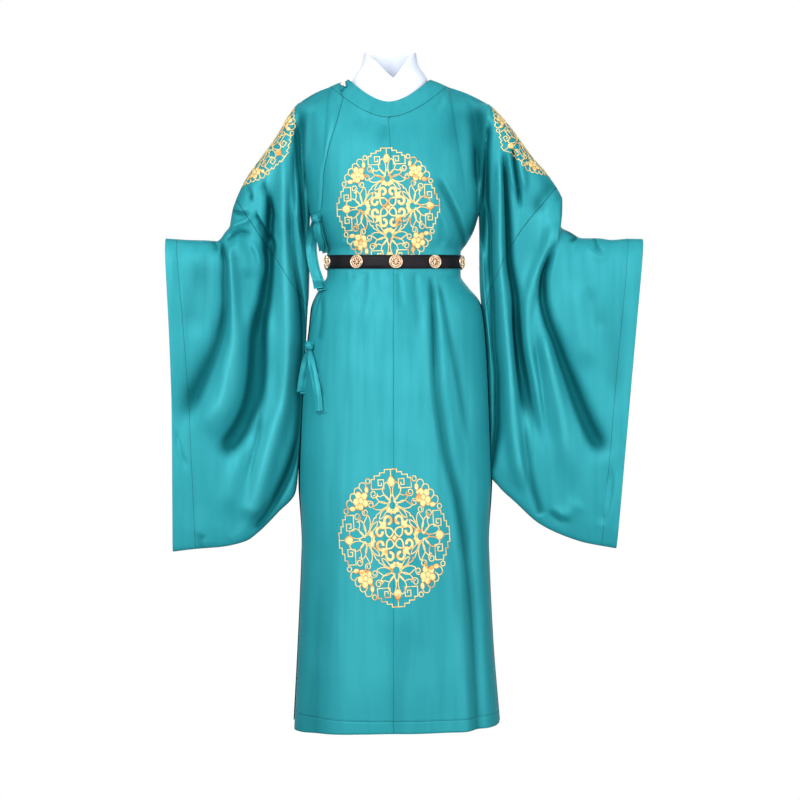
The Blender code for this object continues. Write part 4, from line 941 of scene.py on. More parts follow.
def ring_points(centre, radius, start=0.0, turns=1.0, shrink=0.0, count=14):
    """An arc, or a spiral where shrink says how much of the radius is lost on the way."""
    t = np.linspace(0, 1, count)
    angle = math.radians(start) + 2 * math.pi * turns * t
    size = radius * (1 - shrink * t)
    return np.stack([centre[0] + size * np.cos(angle), centre[1] + size * np.sin(angle)], axis=1)


MITRE_LEAST = 0.6
LINE_SIDES = (-1.0, -0.5, 0.5, 1.0)
PATCH_RINGS = ((0.86, 1.0, 0.35), (0.5, 1.3, 0.0))
PATCH_TOP = 1.35
PATCH_GRAIN = (0.8, 0.6)
NORMAL_SAMPLES = 50


class Raised:
    """Raised lines and patches laid on a surface. place turns flat points into points and normals on it."""

    def __init__(self, place, half_size, step, height, edge_depth=0.35):
        self.place, self.half_size, self.step = place, np.array(half_size, float), step
        self.height, self.edge_depth = height, edge_depth
        self.flat, self.lift, self.rim, self.along, self.faces = [], [], [], [], []
        self.count = 0

    def keep(self, flat, lift, rim, along, faces):
        self.flat.append(flat)
        self.lift.append(lift)
        self.rim.append(rim)
        self.along.append(along)
        self.faces += [tuple(int(i) + self.count for i in face) for face in faces]
        self.count += len(flat)

    def line(self, points, half_width, straight=False, closed=False, lift=0.0):
        points = np.array(points, float) * self.half_size
        points = corners(points, self.step) if straight else rounded(points, self.step, closed)
        ahead = unit(np.diff(points, axis=0))
        if closed:
            before, after = ahead[[-1, *range(len(ahead))]], ahead[[*range(len(ahead)), 0]]
        else:
            before, after = ahead[[0, *range(len(ahead))]], ahead[[*range(len(ahead)), -1]]
        middle = unit(before + after)
        across = np.stack([-middle[:, 1], middle[:, 0]], axis=1)
        mitre = 1 / np.clip(np.sum(middle * after, axis=1), MITRE_LEAST, 1)
        run = run_of(points)
        flat = np.concatenate([points + across * (half_width * mitre * side)[:, None] for side in LINE_SIDES])
        crown = np.array([-self.edge_depth, self.height, self.height, -self.edge_depth])
        n = len(points)
        faces = [
            (row * n + k, row * n + k + 1, (row + 1) * n + k + 1, (row + 1) * n + k)
            for row in range(3) for k in range(n - 1)
        ]
        self.keep(
            flat / self.half_size, np.repeat(crown + lift, n), np.repeat([1.0, 0.0, 0.0, 1.0], n),
            np.tile(run, 4), faces,
        )

    def patch(self, outline, middle, lift=0.0, smooth=True):
        outline = np.array(outline, float) * self.half_size
        if smooth:
            outline = rounded(outline, self.step, True)[:-1]
        else:
            outline = corners(np.concatenate([outline, outline[:1]]), self.step)[:-1]
        middle = np.array(middle, float) * self.half_size
        n = len(outline)
        rings = [(1.0, -self.edge_depth, 1.0)]
        rings += [(share, self.height * up, rim) for share, up, rim in PATCH_RINGS]
        flat = [middle + (outline - middle) * share for share, _, _ in rings] + [middle[None, :]]
        flat = np.concatenate(flat)
        faces = [
            (row * n + k, row * n + (k + 1) % n, (row + 1) * n + (k + 1) % n, (row + 1) * n + k)
            for row in range(2) for k in range(n)
        ]
        faces += [(2 * n + k, 2 * n + (k + 1) % n, 3 * n) for k in range(n)]
        lifts = np.concatenate([np.full(n, height) for _, height, _ in rings] + [[self.height * PATCH_TOP]])
        rims = np.concatenate([np.full(n, rim) for _, _, rim in rings] + [[0.0]])
        self.keep(flat / self.half_size, lifts + lift, rims, flat @ PATCH_GRAIN, faces)

    def make(self, name, material):
        flat = np.concatenate(self.flat)
        points, normals, found = self.place(flat)
        points = points + normals * np.concatenate(self.lift)[:, None]
        faces = [face for face in self.faces if all(found[i] for i in face)]
        mesh = new_mesh(name, points, faces)
        # rim is 1 at the edges of lines and patches, where the thread's material paints shade.
        store(mesh, rim=self.rim, along=self.along)
        work = bmesh.new()
        work.from_mesh(mesh)
        bmesh.ops.delete(work, geom=[v for v in work.verts if not v.link_faces], context="VERTS")
        for face in work.faces:
            face.normal_update()
        work.to_mesh(mesh)
        work.free()
        sample = range(0, len(faces), max(1, len(faces) // NORMAL_SAMPLES))
        wanted = np.array([normals[faces[i][0]] for i in sample])
        got = np.array([mesh.polygons[i].normal[:] for i in sample])
        if np.sum(wanted * got) < 0:
            mesh.flip_normals()
        return finish_object(name, mesh, material, sharp=None)


# The shapes of one eighth or one quarter of a roundel, with its middle at (0, 0) and its rim at (0, 1).
# Widths of lines and lifts are in millimetres.

LINE = 1.4
PETAL_LINE = LINE * 1.6
HOOK = 4.0
RIM_STEPS = (
    (0, 1), (0.11, 1), (0.11, 0.955), (0.2, 0.955), (0.2, 0.915), (0.3, 0.915), (0.3, 0.865), (0.36, 0.865),
)
KEY_FRET = (
    (0.36, 0.865), (0.36, 0.72), (0.135, 0.72), (0.135, 0.855), (0.235, 0.855), (0.235, 0.77), (0.175, 0.77),
    (0.175, 0.81),
)
TALL_LEAF = (
    (0.085, 0.815), (0.145, 0.76), (0.162, 0.69), (0.12, 0.61), (0.06, 0.555), (0.02, 0.63), (0.03, 0.74),
)
SPIRE = (
    (0, 0.635), (0.03, 0.585), (0.036, 0.55), (0.03, 0.53), (0.058, 0.505), (0.066, 0.47), (0.045, 0.425),
    (0, 0.408),
)
UPPER_LEAF = (
    (0.05, 0.535), (0.09, 0.6), (0.15, 0.63), (0.21, 0.612), (0.29, 0.62), (0.25, 0.555), (0.16, 0.51),
    (0.09, 0.51),
)
LOWER_LEAF = (
    (0.085, 0.48), (0.15, 0.53), (0.23, 0.535), (0.29, 0.5), (0.35, 0.455), (0.27, 0.42), (0.17, 0.43),
)
TRAIL_LEAF = ((0.08, 0.445), (0.14, 0.425), (0.205, 0.38), (0.25, 0.29), (0.19, 0.305), (0.14, 0.355))
WAVY_STEM = ((0.11, 0.445), (0.19, 0.425), (0.235, 0.38), (0.3, 0.345), (0.315, 0.295))
HALF_BUD = (
    (0, 0.9), (0.035, 0.905), (0.05, 0.87), (0.078, 0.845), (0.066, 0.8), (0.05, 0.765), (0.012, 0.735),
    (0, 0.725),
)
HALF_CUP = (
    (0, 0.4), (0.045, 0.425), (0.075, 0.475), (0.118, 0.47), (0.145, 0.42), (0.122, 0.375), (0.078, 0.385),
    (0.058, 0.345), (0.02, 0.345), (0, 0.365),
)
CENTRE_PETAL = (
    (0.04, 0.04), (0.014, 0.092), (0.048, 0.136), (0.09, 0.15), (0.148, 0.148), (0.15, 0.09),
    (0.136, 0.048), (0.092, 0.014),
)
# Arcs are given as centre, radius, angle at the start, turns and the share of the radius lost on the way.
HOOK_SHAPE = ((0.095, 0.256), 0.07, -42, 0.9, 0.34)
CORNER_LEAF = (
    (0.14, 0.14), (0.125, 0.21), (0.16, 0.292), (0.2, 0.248), (0.285, 0.285), (0.248, 0.2), (0.292, 0.16),
    (0.21, 0.125),
)
CENTRE_DIAMOND = ((0, 0.055), (0.055, 0), (0, -0.055), (-0.055, 0))
DIAMOND_LIFT = 0.2
BUD_STEM = ((0, 1), (0, 0.89))
BUD_MIDDLE, CUP_MIDDLE, LEAF_MIDDLE = (0, 0.82), (0, 0.365), (0.19, 0.19)
RING = ((0.42, 0.845), 0.038)
CURLS = (((0.33, 0.652), 0.062, 200), ((0.395, 0.5), 0.056, 60))
CURL_SHAPE = (1.25, 0.62, 12)
CURL_STEMS = (((0.272, 0.66), (0.25, 0.62), (0.28, 0.605)), ((0.42, 0.55), (0.44, 0.56), (0.46, 0.53)))
SCALLOP_ANGLES = (34.3, 41.5)
SCALLOP_RADIUS = 0.948
SCALLOP_HUMP = ((-0.075, -0.058), (0, -0.062), (0.045, 0), (0, 0.062), (-0.03, 0.045))
FLOWER = (0.565, 0.565)
PETAL_ANGLES = (45, 117, 189, 261, 333)
PETAL_OUT = 0.088
PETAL_SIZE = 0.064
EYE_SIZE = PETAL_SIZE * 0.8
EYE_LIFT = 0.9
LIFT_STEP = 0.12
WING_LOBES = (((0.452, 0.722), (0.042, 0.062)), ((0.478, 0.64), (0.05, 0.038)))


def turned(points, quarter, mirrored=False):
    """Flat points mirrored, if asked, and then turned by quarters about the middle."""
    points = np.array(points, float)
    if mirrored:
        points = points * (-1, 1)
    for _ in range(quarter):
        points = np.stack([points[:, 1], -points[:, 0]], axis=1)
    return points


def both_halves(half):
    return (*half, *((-x, z) for x, z in half[-2:0:-1]))


def on_circle(angle):
    return np.array([math.cos(angle), math.sin(angle)])


def oval(centre, size, count=12):
    return np.array(centre) + ring_points((0, 0), 1.0, count=count + 1)[:-1] * size


def add_eighth(work, quarter, mirrored):
    """The rim, key fret, leaves, stems, curls and hook of one eighth of a roundel."""
    def put(points, half_width=LINE, **options):
        work.line(turned(points, quarter, mirrored), half_width, **options)

    put(RIM_STEPS, straight=True)
    put(KEY_FRET, straight=True)
    for leaf in (TALL_LEAF, UPPER_LEAF, LOWER_LEAF, TRAIL_LEAF):
        put(leaf, closed=True)
    put(WAVY_STEM)
    put(SPIRE)
    put(ring_points(*HOOK_SHAPE), HOOK)
    put(ring_points(*RING, count=9)[:-1], closed=True)
    for curl in CURLS:
        put(ring_points(*curl, *CURL_SHAPE))
    for stem in CURL_STEMS:
        put(stem)
    for angle in SCALLOP_ANGLES:
        out = on_circle(math.radians(angle))[::-1]
        side = np.array([out[1], -out[0]])
        put([out * (SCALLOP_RADIUS + further) + side * aside for further, aside in SCALLOP_HUMP])
    for place, size in WING_LOBES:
        spot = turned([place], quarter, mirrored)[0]
        work.patch(oval(spot, size[::-1] if quarter % 2 else size), spot, LIFT_STEP * mirrored)


def add_quarter(work, quarter):
    """The bud, cup, petal, corner leaf and flower of one quarter of a roundel."""
    work.line(turned(BUD_STEM, quarter), LINE)
    for outline, middle in (
        (both_halves(HALF_BUD), BUD_MIDDLE), (both_halves(HALF_CUP), CUP_MIDDLE), (CORNER_LEAF, LEAF_MIDDLE),
    ):
        work.patch(turned(outline, quarter), turned([middle], quarter)[0])
    work.line(turned(CENTRE_PETAL, quarter), PETAL_LINE, closed=True)
    flower = turned([FLOWER], quarter)[0]
    for number, angle in enumerate(PETAL_ANGLES):
        spot = flower + PETAL_OUT * on_circle(math.radians(angle))
        work.patch(oval(spot, (PETAL_SIZE, PETAL_SIZE)), spot, LIFT_STEP * number)
    work.patch(oval(flower, (EYE_SIZE, EYE_SIZE)), flower, EYE_LIFT)


def add_roundel(work):
    """A four-way roundel: stepped and scalloped rim, key frets, buds, leaves, flowers and a hooked centre."""
    for quarter in range(4):
        add_eighth(work, quarter, False)
        add_eighth(work, quarter, True)
        add_quarter(work, quarter)
    work.patch(CENTRE_DIAMOND, (0, 0), DIAMOND_LIFT, smooth=False)


def surface_tree(*objects):
    """A ray-casting tree over the objects' meshes, in millimetres."""
    vertices, faces, count = [], [], 0
    for obj in objects:
        mesh = obj.data
        co = np.empty(len(mesh.vertices) * 3)
        mesh.vertices.foreach_get("co", co)
        vertices.append(co.reshape(-1, 3) / MM)
        faces += [tuple(i + count for i in polygon.vertices) for polygon in mesh.polygons]
        count += len(mesh.vertices)
    return BVHTree.FromPolygons(np.concatenate(vertices).tolist(), faces)


CAST_FROM = 400.0


def cast(tree, x, z, ahead):
    """Where lines along Y first meet the cloth, from the front if ahead is 1 and from behind if it is -1."""
    points, normals = np.zeros((len(x), 3)), np.zeros((len(x), 3))
    found = np.zeros(len(x), bool)
    for number, (px, pz) in enumerate(zip(x, z)):
        hit, normal, _, _ = tree.ray_cast(Vector((px, -CAST_FROM * ahead, pz)), Vector((0, ahead, 0)))
        points[number] = (px, 0, pz)
        if hit is None:
            continue
        found[number] = True
        points[number] = hit
        normals[number] = normal if normal.y * ahead < 0 else -normal
    return points, normals, found


def flat_place(tree, centre, half_size, turn):
    """A roundel facing the front: its points go straight back onto the cloth."""
    cosine, sine = math.cos(math.radians(turn)), math.sin(math.radians(turn))

    def place(flat):
        size = flat * half_size
        x = centre[0] + size[:, 0] * cosine - size[:, 1] * sine
        z = centre[1] + size[:, 0] * sine + size[:, 1] * cosine
        return cast(tree, x, z, 1)

    return place


STOPS, STOP_MARGIN = 33, 1.08
DROPS, DROP_REACH, DROP_POWER = 70, 130, 1.7


def shoulder_place(tree, line, middle_run, half_size):
    """A roundel over the shoulder: across follows the cloth down from the top line, front and back."""
    run = run_of(line)
    reach = half_size[0] * STOP_MARGIN
    stops = np.linspace(middle_run - reach, middle_run + reach, STOPS)
    drops = DROP_REACH * np.linspace(0, 1, DROPS) ** DROP_POWER
    top = np.stack([np.interp(stops, run, line[:, axis]) for axis in range(2)], axis=1)
    tangent = unit(np.gradient(top, axis=0))
    down = np.stack([tangent[:, 1], -tangent[:, 0]], axis=1)
    down = down * -np.sign(down[:, 1:])
    arcs = {1: [], -1: []}
    for spot, way in zip(top, down):
        sides = {}
        for ahead in arcs:
            points, _, found = cast(tree, spot[0] + way[0] * drops, spot[1] + way[1] * drops, ahead)
            first = int(np.argmax(found))
            for number in range(first + 1, len(drops)):
                if not found[number]:
                    points[number, 1] = points[number - 1, 1]
            sides[ahead] = points, first
        crest = sum(points[first, 1] for points, first in sides.values()) / 2
        for ahead, (points, first) in sides.items():
            points[:first, 1] = crest
            arcs[ahead].append(run_of(points))
    arcs = {ahead: np.array(table) for ahead, table in arcs.items()}

    def place(flat):
        along = middle_run + flat[:, 0] * half_size[0]
        arc = flat[:, 1] * half_size[1]
        column_at = np.clip((along - stops[0]) / (stops[1] - stops[0]), 0, len(stops) - 1.001)
        whole = np.floor(column_at).astype(int)
        part = column_at - whole
        base = top[whole] + (top[whole + 1] - top[whole]) * part[:, None]
        way = down[whole] + (down[whole + 1] - down[whole]) * part[:, None]

        def on_side(mine, reach, ahead):
            drop = np.array([
                np.interp(r, arcs[ahead][w] * (1 - p) + arcs[ahead][w + 1] * p, drops)
                for r, w, p in zip(reach, whole[mine], part[mine])
            ])
            spot = base[mine] + way[mine] * drop[:, None]
            return cast(tree, spot[:, 0], spot[:, 1], ahead)

        points, normals, found = np.zeros((len(flat), 3)), np.zeros((len(flat), 3)), np.zeros(len(flat), bool)
        for ahead in (1, -1):
            mine = arc * ahead >= RIDGE_HALF
            points[mine], normals[mine], found[mine] = on_side(mine, abs(arc[mine]), ahead)
        near = abs(arc) < RIDGE_HALF
        reach = np.full(near.sum(), RIDGE_HALF)
        front, front_normal, front_found = on_side(near, reach, 1)
        behind, behind_normal, behind_found = on_side(near, reach, -1)
        crest = np.column_stack([base[near, 0], (front[:, 1] + behind[:, 1]) / 2, base[near, 1]])
        up = np.column_stack([-way[near, 0], 0 * reach, -way[near, 1]])
        share = (arc[near] / RIDGE_HALF)[:, None]
        forward, level, back = share * (share + 1) / 2, 1 - share**2, share * (share - 1) / 2
        points[near] = front * forward + crest * level + behind * back
        normals[near] = unit(front_normal * forward + up * level + behind_normal * back)
        found[near] = front_found & behind_found
        return points, normals, found

    return place


# ================================================================ pieces made by sweeping


def strip_mesh(name, grid, material, around=False, thick=0.0, sharp=60):
    """A grid of points as one mesh, given a thickness where thick says."""
    cloth = Cloth()
    cloth.add(grid, around=around)
    obj = finish_object(name, cloth.mesh(name), material, sharp)
    if thick:
        solidify = obj.modifiers.new("thickness", "SOLIDIFY")
        solidify.thickness, solidify.offset = thick * MM, -1
        graph = bpy.context.evaluated_depsgraph_get()
        mesh = bpy.data.meshes.new_from_object(obj.evaluated_get(graph))
        obj.modifiers.clear()
        obj.data = mesh
    return obj


def frame_about(axis, upright=False):
    """Two directions square to an axis and to each other. upright makes the second point up."""
    side = unit(np.cross(axis, (0.0, 0.0, 1.0)))
    up = unit(np.cross(axis, side))
    return (-side, -up) if upright and up[2] < 0 else (side, up)


def turned_solid(name, centre, axis, profile, steps, material):
    """A profile of (radius, height) turned about an axis, from foot to top."""
    side, up = frame_about(axis)
    angle = np.linspace(0, 2 * math.pi, steps + 1)[:-1]
    radius, height = np.array(profile, float).T
    circle = side * np.cos(angle)[:, None] + up * np.sin(angle)[:, None]
    grid = centre + axis * height[:, None, None] + circle[None] * np.maximum(radius, 0.02)[:, None, None]
    return strip_mesh(name, grid, material, around=True, sharp=45)


def joined(name, objects):
    """One object from several, keeping each face's material."""
    work = bmesh.new()
    materials = []
    for obj in objects:
        start = len(work.faces)
        work.from_mesh(obj.data)
        work.faces.ensure_lookup_table()
        slots = []
        for material in obj.data.materials:
            if material not in materials:
                materials.append(material)
            slots.append(materials.index(material))
        for face in work.faces[start:]:
            face.material_index = slots[face.material_index] if slots else 0
    mesh = bpy.data.meshes.new(name)
    work.to_mesh(mesh)
    work.free()
    for material in materials:
        mesh.materials.append(material)
    for obj in objects:
        bpy.data.objects.remove(obj)
    return linked(name, mesh)


# ================================================================ materials

SATIN = (0.014, 0.275, 0.315)
SATIN_LIGHT = (0.02, 0.31, 0.352)
SATIN_DEEP = (0.008, 0.24, 0.275)
# Painted highlight on fold crests, and painted shade in fold valleys, where the shine is also dulled.
SATIN_PAINTED_HIGHLIGHT = (0.035, 0.36, 0.405)
SATIN_SHADE = (0.0, 0.045, 0.055)
SATIN_METALLIC = 0.3
SATIN_SPECULAR = 0.3
SATIN_ROUGH = 0.6
PAINTED_SHADE_SHARE = 0.78
PAINTED_HIGHLIGHT_SHARE = 0.6
PAINTED_HIGHLIGHT_FROM = 2.0
SHADED_SPECULAR = 0.02
# Painted shade in seam grooves and along free edges, and a darker stitch line.
SEAM_SHADE_AND_STITCH_DARK = (0.0, 0.03, 0.04)
SEAM_HALF = 1.0
SEAM_SHADE_SHARE = 0.85
STITCH_HALF = 0.8
STITCH_SHARE = 0.65
STITCH_PITCH = 1.1
THREAD = (0.88, 0.69, 0.29)
# Painted shade for the edges of the raised thread.
THREAD_EDGE_SHADE = (0.22, 0.06, 0.003)
THREAD_WARM = (0.72, 0.28, 0.04)
LEATHER = ((0.003, 0.003, 0.004), (0.01, 0.008, 0.012))
GOLD = ((0.95, 0.74, 0.54), (0.62, 0.36, 0.2))
BRONZE = ((0.16, 0.07, 0.035), (0.05, 0.02, 0.01))
# The cotton's colour, then painted blue-grey shade that follows its creases.
COTTON_AND_CREASE_SHADE = ((0.74, 0.78, 0.86), (0.52, 0.59, 0.76))
PEARL = ((0.92, 0.84, 0.8), (0.74, 0.52, 0.44))
# Noise is given as scale, detail and stretch, and a bump as strength and distance in metres.
WARP_THREADS = (900, 1.0, (1, 1, 0.06))
SLUBS = (70, 3.0, (1, 1, 0.05))
DYE = (7,)
PUCKER = (260,)
RIPPLES = (26, 3.0, (1, 1, 0.4))
RIPPLE_BUMP = (0.14, 0.004)
WARP_BUMP = (0.55, 0.0009)
WARP_DEPTH, PUCKER_DEPTH, GROOVE_DEPTH, SHOULDER_DEPTH = 0.1, 1.4, 1.2, 0.8
THREAD_PATCHES = (48,)
THREAD_BUMP = (0.35, 0.0005)
LEATHER_TONE = (30, 3.0)
LEATHER_CELLS = 420
LEATHER_BUMP = (0.35, 0.0004)
TARNISH = (240, 3.0)
METAL_GRAIN = (600,)
METAL_BUMP = (0.2, 0.0003)
COTTON_CREASES = (16, 3.0)
COTTON_WEAVE = (1400, 1.0)
COTTON_CREASE_BUMP = (0.25, 0.003)
COTTON_WEAVE_BUMP = (0.25, 0.0003)
PEARL_SWIRL = (180, 3.0)
PEARL_BUMP = (0.1, 0.0003)


class Nodes:
    """A material's node tree, built by name."""

    def __init__(self, name, colour, roughness, metallic=0.0, specular=0.5):
        self.material = bpy.data.materials.new(name)
        self.material.use_nodes = True
        self.tree = self.material.node_tree
        self.shader = self.tree.nodes["Principled BSDF"]
        self.set(Base_Color=(*colour, 1.0), Roughness=roughness, Metallic=metallic, Specular_IOR_Level=specular)
        self.place = self.node("TexCoord").outputs["Object"]

    def link(self, source, target):
        if isinstance(source, (int, float, tuple)):
            target.default_value = source
        else:
            self.tree.links.new(source, target)

    def node(self, kind, inputs=(), **settings):
        """A new node with its settings, and with a value or a link in each of the named or numbered inputs."""
        node = self.tree.nodes.new("ShaderNode" + kind)
        for name, value in settings.items():
            setattr(node, name, value)
        for socket, source in inputs:
            self.link(source, node.inputs[socket])
        return node

    def attribute(self, name):
        return self.node("Attribute", attribute_name=name).outputs["Fac"]

    def math(self, operation, *values):
        return self.node("Math", enumerate(values), operation=operation).outputs[0]

    def ramp(self, value, low, high, at_low=0.0, at_high=1.0):
        limits = enumerate((value, low, high, at_low, at_high))
        return self.node("MapRange", limits, interpolation_type="SMOOTHSTEP").outputs[0]

    def noise(self, scale, detail=2.0, stretch=(1, 1, 1), distortion=0.0):
        place = self.node("Mapping", (("Vector", self.place), ("Scale", stretch))).outputs[0]
        settings = (("Vector", place), ("Scale", scale), ("Detail", detail), ("Distortion", distortion))
        return self.node("TexNoise", settings).outputs["Fac"]

    def cells(self, scale):
        """Distance to the nearest edge of a pattern of cells."""
        settings = (("Vector", self.place), ("Scale", scale))
        return self.node("TexVoronoi", settings, feature="DISTANCE_TO_EDGE").outputs["Distance"]

    def mix(self, share, first, second):
        colours = [(*item, 1.0) if isinstance(item, tuple) else item for item in (first, second)]
        return self.node("Mix", zip((0, 6, 7), (share, *colours)), data_type="RGBA").outputs[2]

    def bump(self, height, strength, distance, under=None):
        settings = [("Strength", strength), ("Distance", distance), ("Height", height)]
        if under is not None:
            settings.append(("Normal", under))
        return self.node("Bump", settings).outputs["Normal"]

    def set(self, **sockets):
        for name, value in sockets.items():
            self.link(value, self.shader.inputs[name.replace("_", " ")])
        return self.material


def satin_material(name, lines):
    """Teal satin: a broad soft shine, fine warp threads and, where lines is true, folds with painted shade and
    highlight, seams with painted shade, and stitches.
    """
    make = Nodes(name, SATIN, 0.4, SATIN_METALLIC, SATIN_SPECULAR)
    threads = make.noise(*WARP_THREADS)
    slubs = make.noise(*SLUBS)
    colour = make.mix(make.ramp(make.noise(*DYE), 0.3, 0.7), SATIN, SATIN_LIGHT)
    colour = make.mix(make.ramp(slubs, 0.35, 0.75, 0.0, 0.35), colour, SATIN_DEEP)
    height = make.math("MULTIPLY", threads, WARP_DEPTH)
    if lines:
        push = make.attribute("push")
        # Painted highlight on fold crests, and painted shade in fold valleys with less shine there.
        colour = make.mix(make.ramp(push, PAINTED_HIGHLIGHT_FROM, PAINTED_HIGHLIGHT_FULL_AT, 0.0, PAINTED_HIGHLIGHT_SHARE), colour, SATIN_PAINTED_HIGHLIGHT)
        colour = make.mix(make.ramp(push, -PAINTED_SHADE_FULL_AT, 0.0, PAINTED_SHADE_SHARE, 0.0), colour, SATIN_SHADE)
        make.set(Specular_IOR_Level=make.ramp(push, -PAINTED_SHADE_FULL_AT, 0.0, SHADED_SPECULAR, SATIN_SPECULAR))
        # Painted shade in seam grooves and along free edges, and a darker stitch line; both also sink the bump.
        seam = make.attribute("seam")
        groove = make.ramp(seam, SEAM_HALF * 0.35, SEAM_HALF, 1.0, 0.0)
        shoulder = make.ramp(seam, SEAM_HALF, SEAM_HALF * 3.2, 1.0, 0.0)
        stitch = make.math("ABSOLUTE", make.attribute("stitch"))
        line = make.ramp(stitch, STITCH_HALF * 0.3, STITCH_HALF, 1.0, 0.0)
        dent = make.ramp(stitch, STITCH_HALF, STITCH_HALF * 5.0, 1.0, 0.0)
        for mark, share in ((groove, SEAM_SHADE_SHARE), (line, STITCH_SHARE)):
            colour = make.mix(make.math("MULTIPLY", mark, share), colour, SEAM_SHADE_AND_STITCH_DARK)
        pucker = make.math("MULTIPLY", make.noise(*PUCKER), PUCKER_DEPTH)
        for mark, depth in ((shoulder, SHOULDER_DEPTH), (groove, GROOVE_DEPTH), (dent, pucker)):
            height = make.math("SUBTRACT", height, make.math("MULTIPLY", mark, depth))
    normal = make.bump(make.noise(*RIPPLES), *RIPPLE_BUMP)
    normal = make.bump(height, *WARP_BUMP, normal)
    rough = make.ramp(slubs, 0.3, 0.8, SATIN_ROUGH - 0.04, SATIN_ROUGH + 0.06)
    return make.set(Base_Color=colour, Roughness=rough, Normal=normal)


def stitched_material(name):
    """Embroidery thread: pale on its crown with painted shade at its edges, ribbed across by its stitches."""
    make = Nodes(name, THREAD, 0.5, 0.15)
    ribs = make.math("SINE", make.math("MULTIPLY", make.attribute("along"), 2 * math.pi / STITCH_PITCH))
    colour = make.mix(make.ramp(make.noise(*THREAD_PATCHES), 0.55, 0.66, 0.0, 0.75), THREAD, THREAD_WARM)
    # Painted shade at the edges of each raised line and patch.
    colour = make.mix(make.ramp(make.attribute("rim"), 0.12, 0.55), colour, THREAD_EDGE_SHADE)
    return make.set(Base_Color=colour, Normal=make.bump(ribs, *THREAD_BUMP))


def leather_material(name):
    """Black leather: a fine grain of cells, a little uneven in tone and shine."""
    make = Nodes(name, LEATHER[0], 0.5, specular=0.16)
    broad = make.noise(*LEATHER_TONE)
    colour = make.mix(make.ramp(broad, 0.35, 0.7), *LEATHER)
    normal = make.bump(make.ramp(make.cells(LEATHER_CELLS), 0.0, 0.35), *LEATHER_BUMP)
    return make.set(Base_Color=colour, Roughness=make.ramp(broad, 0.3, 0.7, 0.45, 0.6), Normal=normal)


def metal_material(name, colours, roughness):
    """Metal with patches of tarnish that are darker and rougher."""
    make = Nodes(name, colours[0], roughness, 1.0)
    tarnish = make.noise(*TARNISH)
    return make.set(
        Base_Color=make.mix(make.ramp(tarnish, 0.4, 0.75), *colours),
        Roughness=make.ramp(tarnish, 0.3, 0.8, roughness, roughness + 0.15),
        Normal=make.bump(make.noise(*METAL_GRAIN), *METAL_BUMP),
    )


def cotton_material(name):
    """White cotton: soft shallow creases with painted blue-grey shade, under a fine weave."""
    make = Nodes(name, COTTON_AND_CREASE_SHADE[0], 0.85)
    broad = make.noise(*COTTON_CREASES)
    creases = make.bump(broad, *COTTON_CREASE_BUMP)
    return make.set(
        # Painted blue-grey shade that follows the crease pattern.
        Base_Color=make.mix(make.ramp(broad, 0.35, 0.75, 0.0, 0.6), *COTTON_AND_CREASE_SHADE),
        Normal=make.bump(make.noise(*COTTON_WEAVE), *COTTON_WEAVE_BUMP, creases),
    )


def pearl_material(name):
    """Pearly button: a slow swirl of two warm tones."""
    make = Nodes(name, PEARL[0], 0.22, 0.1)
    swirl = make.noise(*PEARL_SWIRL, distortion=1.0)
    colour = make.mix(make.ramp(swirl, 0.35, 0.7), *PEARL)
    return make.set(Base_Color=colour, Normal=make.bump(swirl, *PEARL_BUMP))


# ================================================================ building the cloth

SHOULDER_COLUMNS = 16
OVERLAP_ACROSS = 54
RIGHT_SHOWN_COLUMNS = 16
RIGHT_BACK_COLUMNS = 44
HIDDEN_FROM, HIDDEN_TO, HIDDEN_COLUMNS = 0.02, 0.62, 10
SINK_BEFORE, SINK_REACH = 0.03, 0.028
NECK_RISE, NECK_RISE_REACH = 0.8, 0.2

satin = satin_material("satin cloth", True)


def two_runs(start, bend, end, first_count, second_count):
    """Places from start to bend and on to end, with their own number of steps in each part."""
    return np.concatenate([np.linspace(start, bend, first_count), np.linspace(bend, end, second_count)[1:]])


heights, rises = body_rows()
still = np.zeros(heights.shape)
edge = overlap_edge_share(heights, rises)[:, None]
neck_part = NECK_SHARE / edge[-1, 0]
left_across = still + two_runs(
    0.5, 1 - NECK_SHARE, 1, PANEL_COLUMNS - SHOULDER_COLUMNS + 1, SHOULDER_COLUMNS + 1
)
right_back_across = still + two_runs(0, NECK_SHARE, 0.5, SHOULDER_COLUMNS + 1, RIGHT_BACK_COLUMNS)
overlap_across = edge + (0.5 - edge) * np.linspace(0, 1, OVERLAP_ACROSS)[None, :]
hidden_across = edge + (UNDERLAP_SHARE - edge) * np.linspace(HIDDEN_FROM, HIDDEN_TO, HIDDEN_COLUMNS)[None, :]
shown_across = edge * two_runs(0, neck_part, 1.0, SHOULDER_COLUMNS + 1, RIGHT_SHOWN_COLUMNS)[None, :]
right_across = np.concatenate([shown_across, hidden_across], axis=1)

near_neck = ease((rises - NECK_RISE) / NECK_RISE_REACH)
step_down = LAYER_STEP + (LAYER_STEP_AT_NECK - LAYER_STEP) * near_neck
sink = step_down * ease((right_across - edge + SINK_BEFORE) / SINK_REACH)

left_cloth, right_cloth, overlap_cloth = Cloth(), Cloth(), Cloth()
body_grid(left_cloth, left_across, False, centre=0)
body_grid(left_cloth, left_across, True, centre=0)
add_upper_sleeve(left_cloth, LEFT_SLEEVE, "left")
body_grid(right_cloth, right_across, False, sink=sink)
body_grid(right_cloth, right_back_across, True, centre=-1)
add_upper_sleeve(right_cloth, RIGHT_SLEEVE, "right")
body_grid(overlap_cloth, overlap_across, False, centre=-1, free_edge=True)

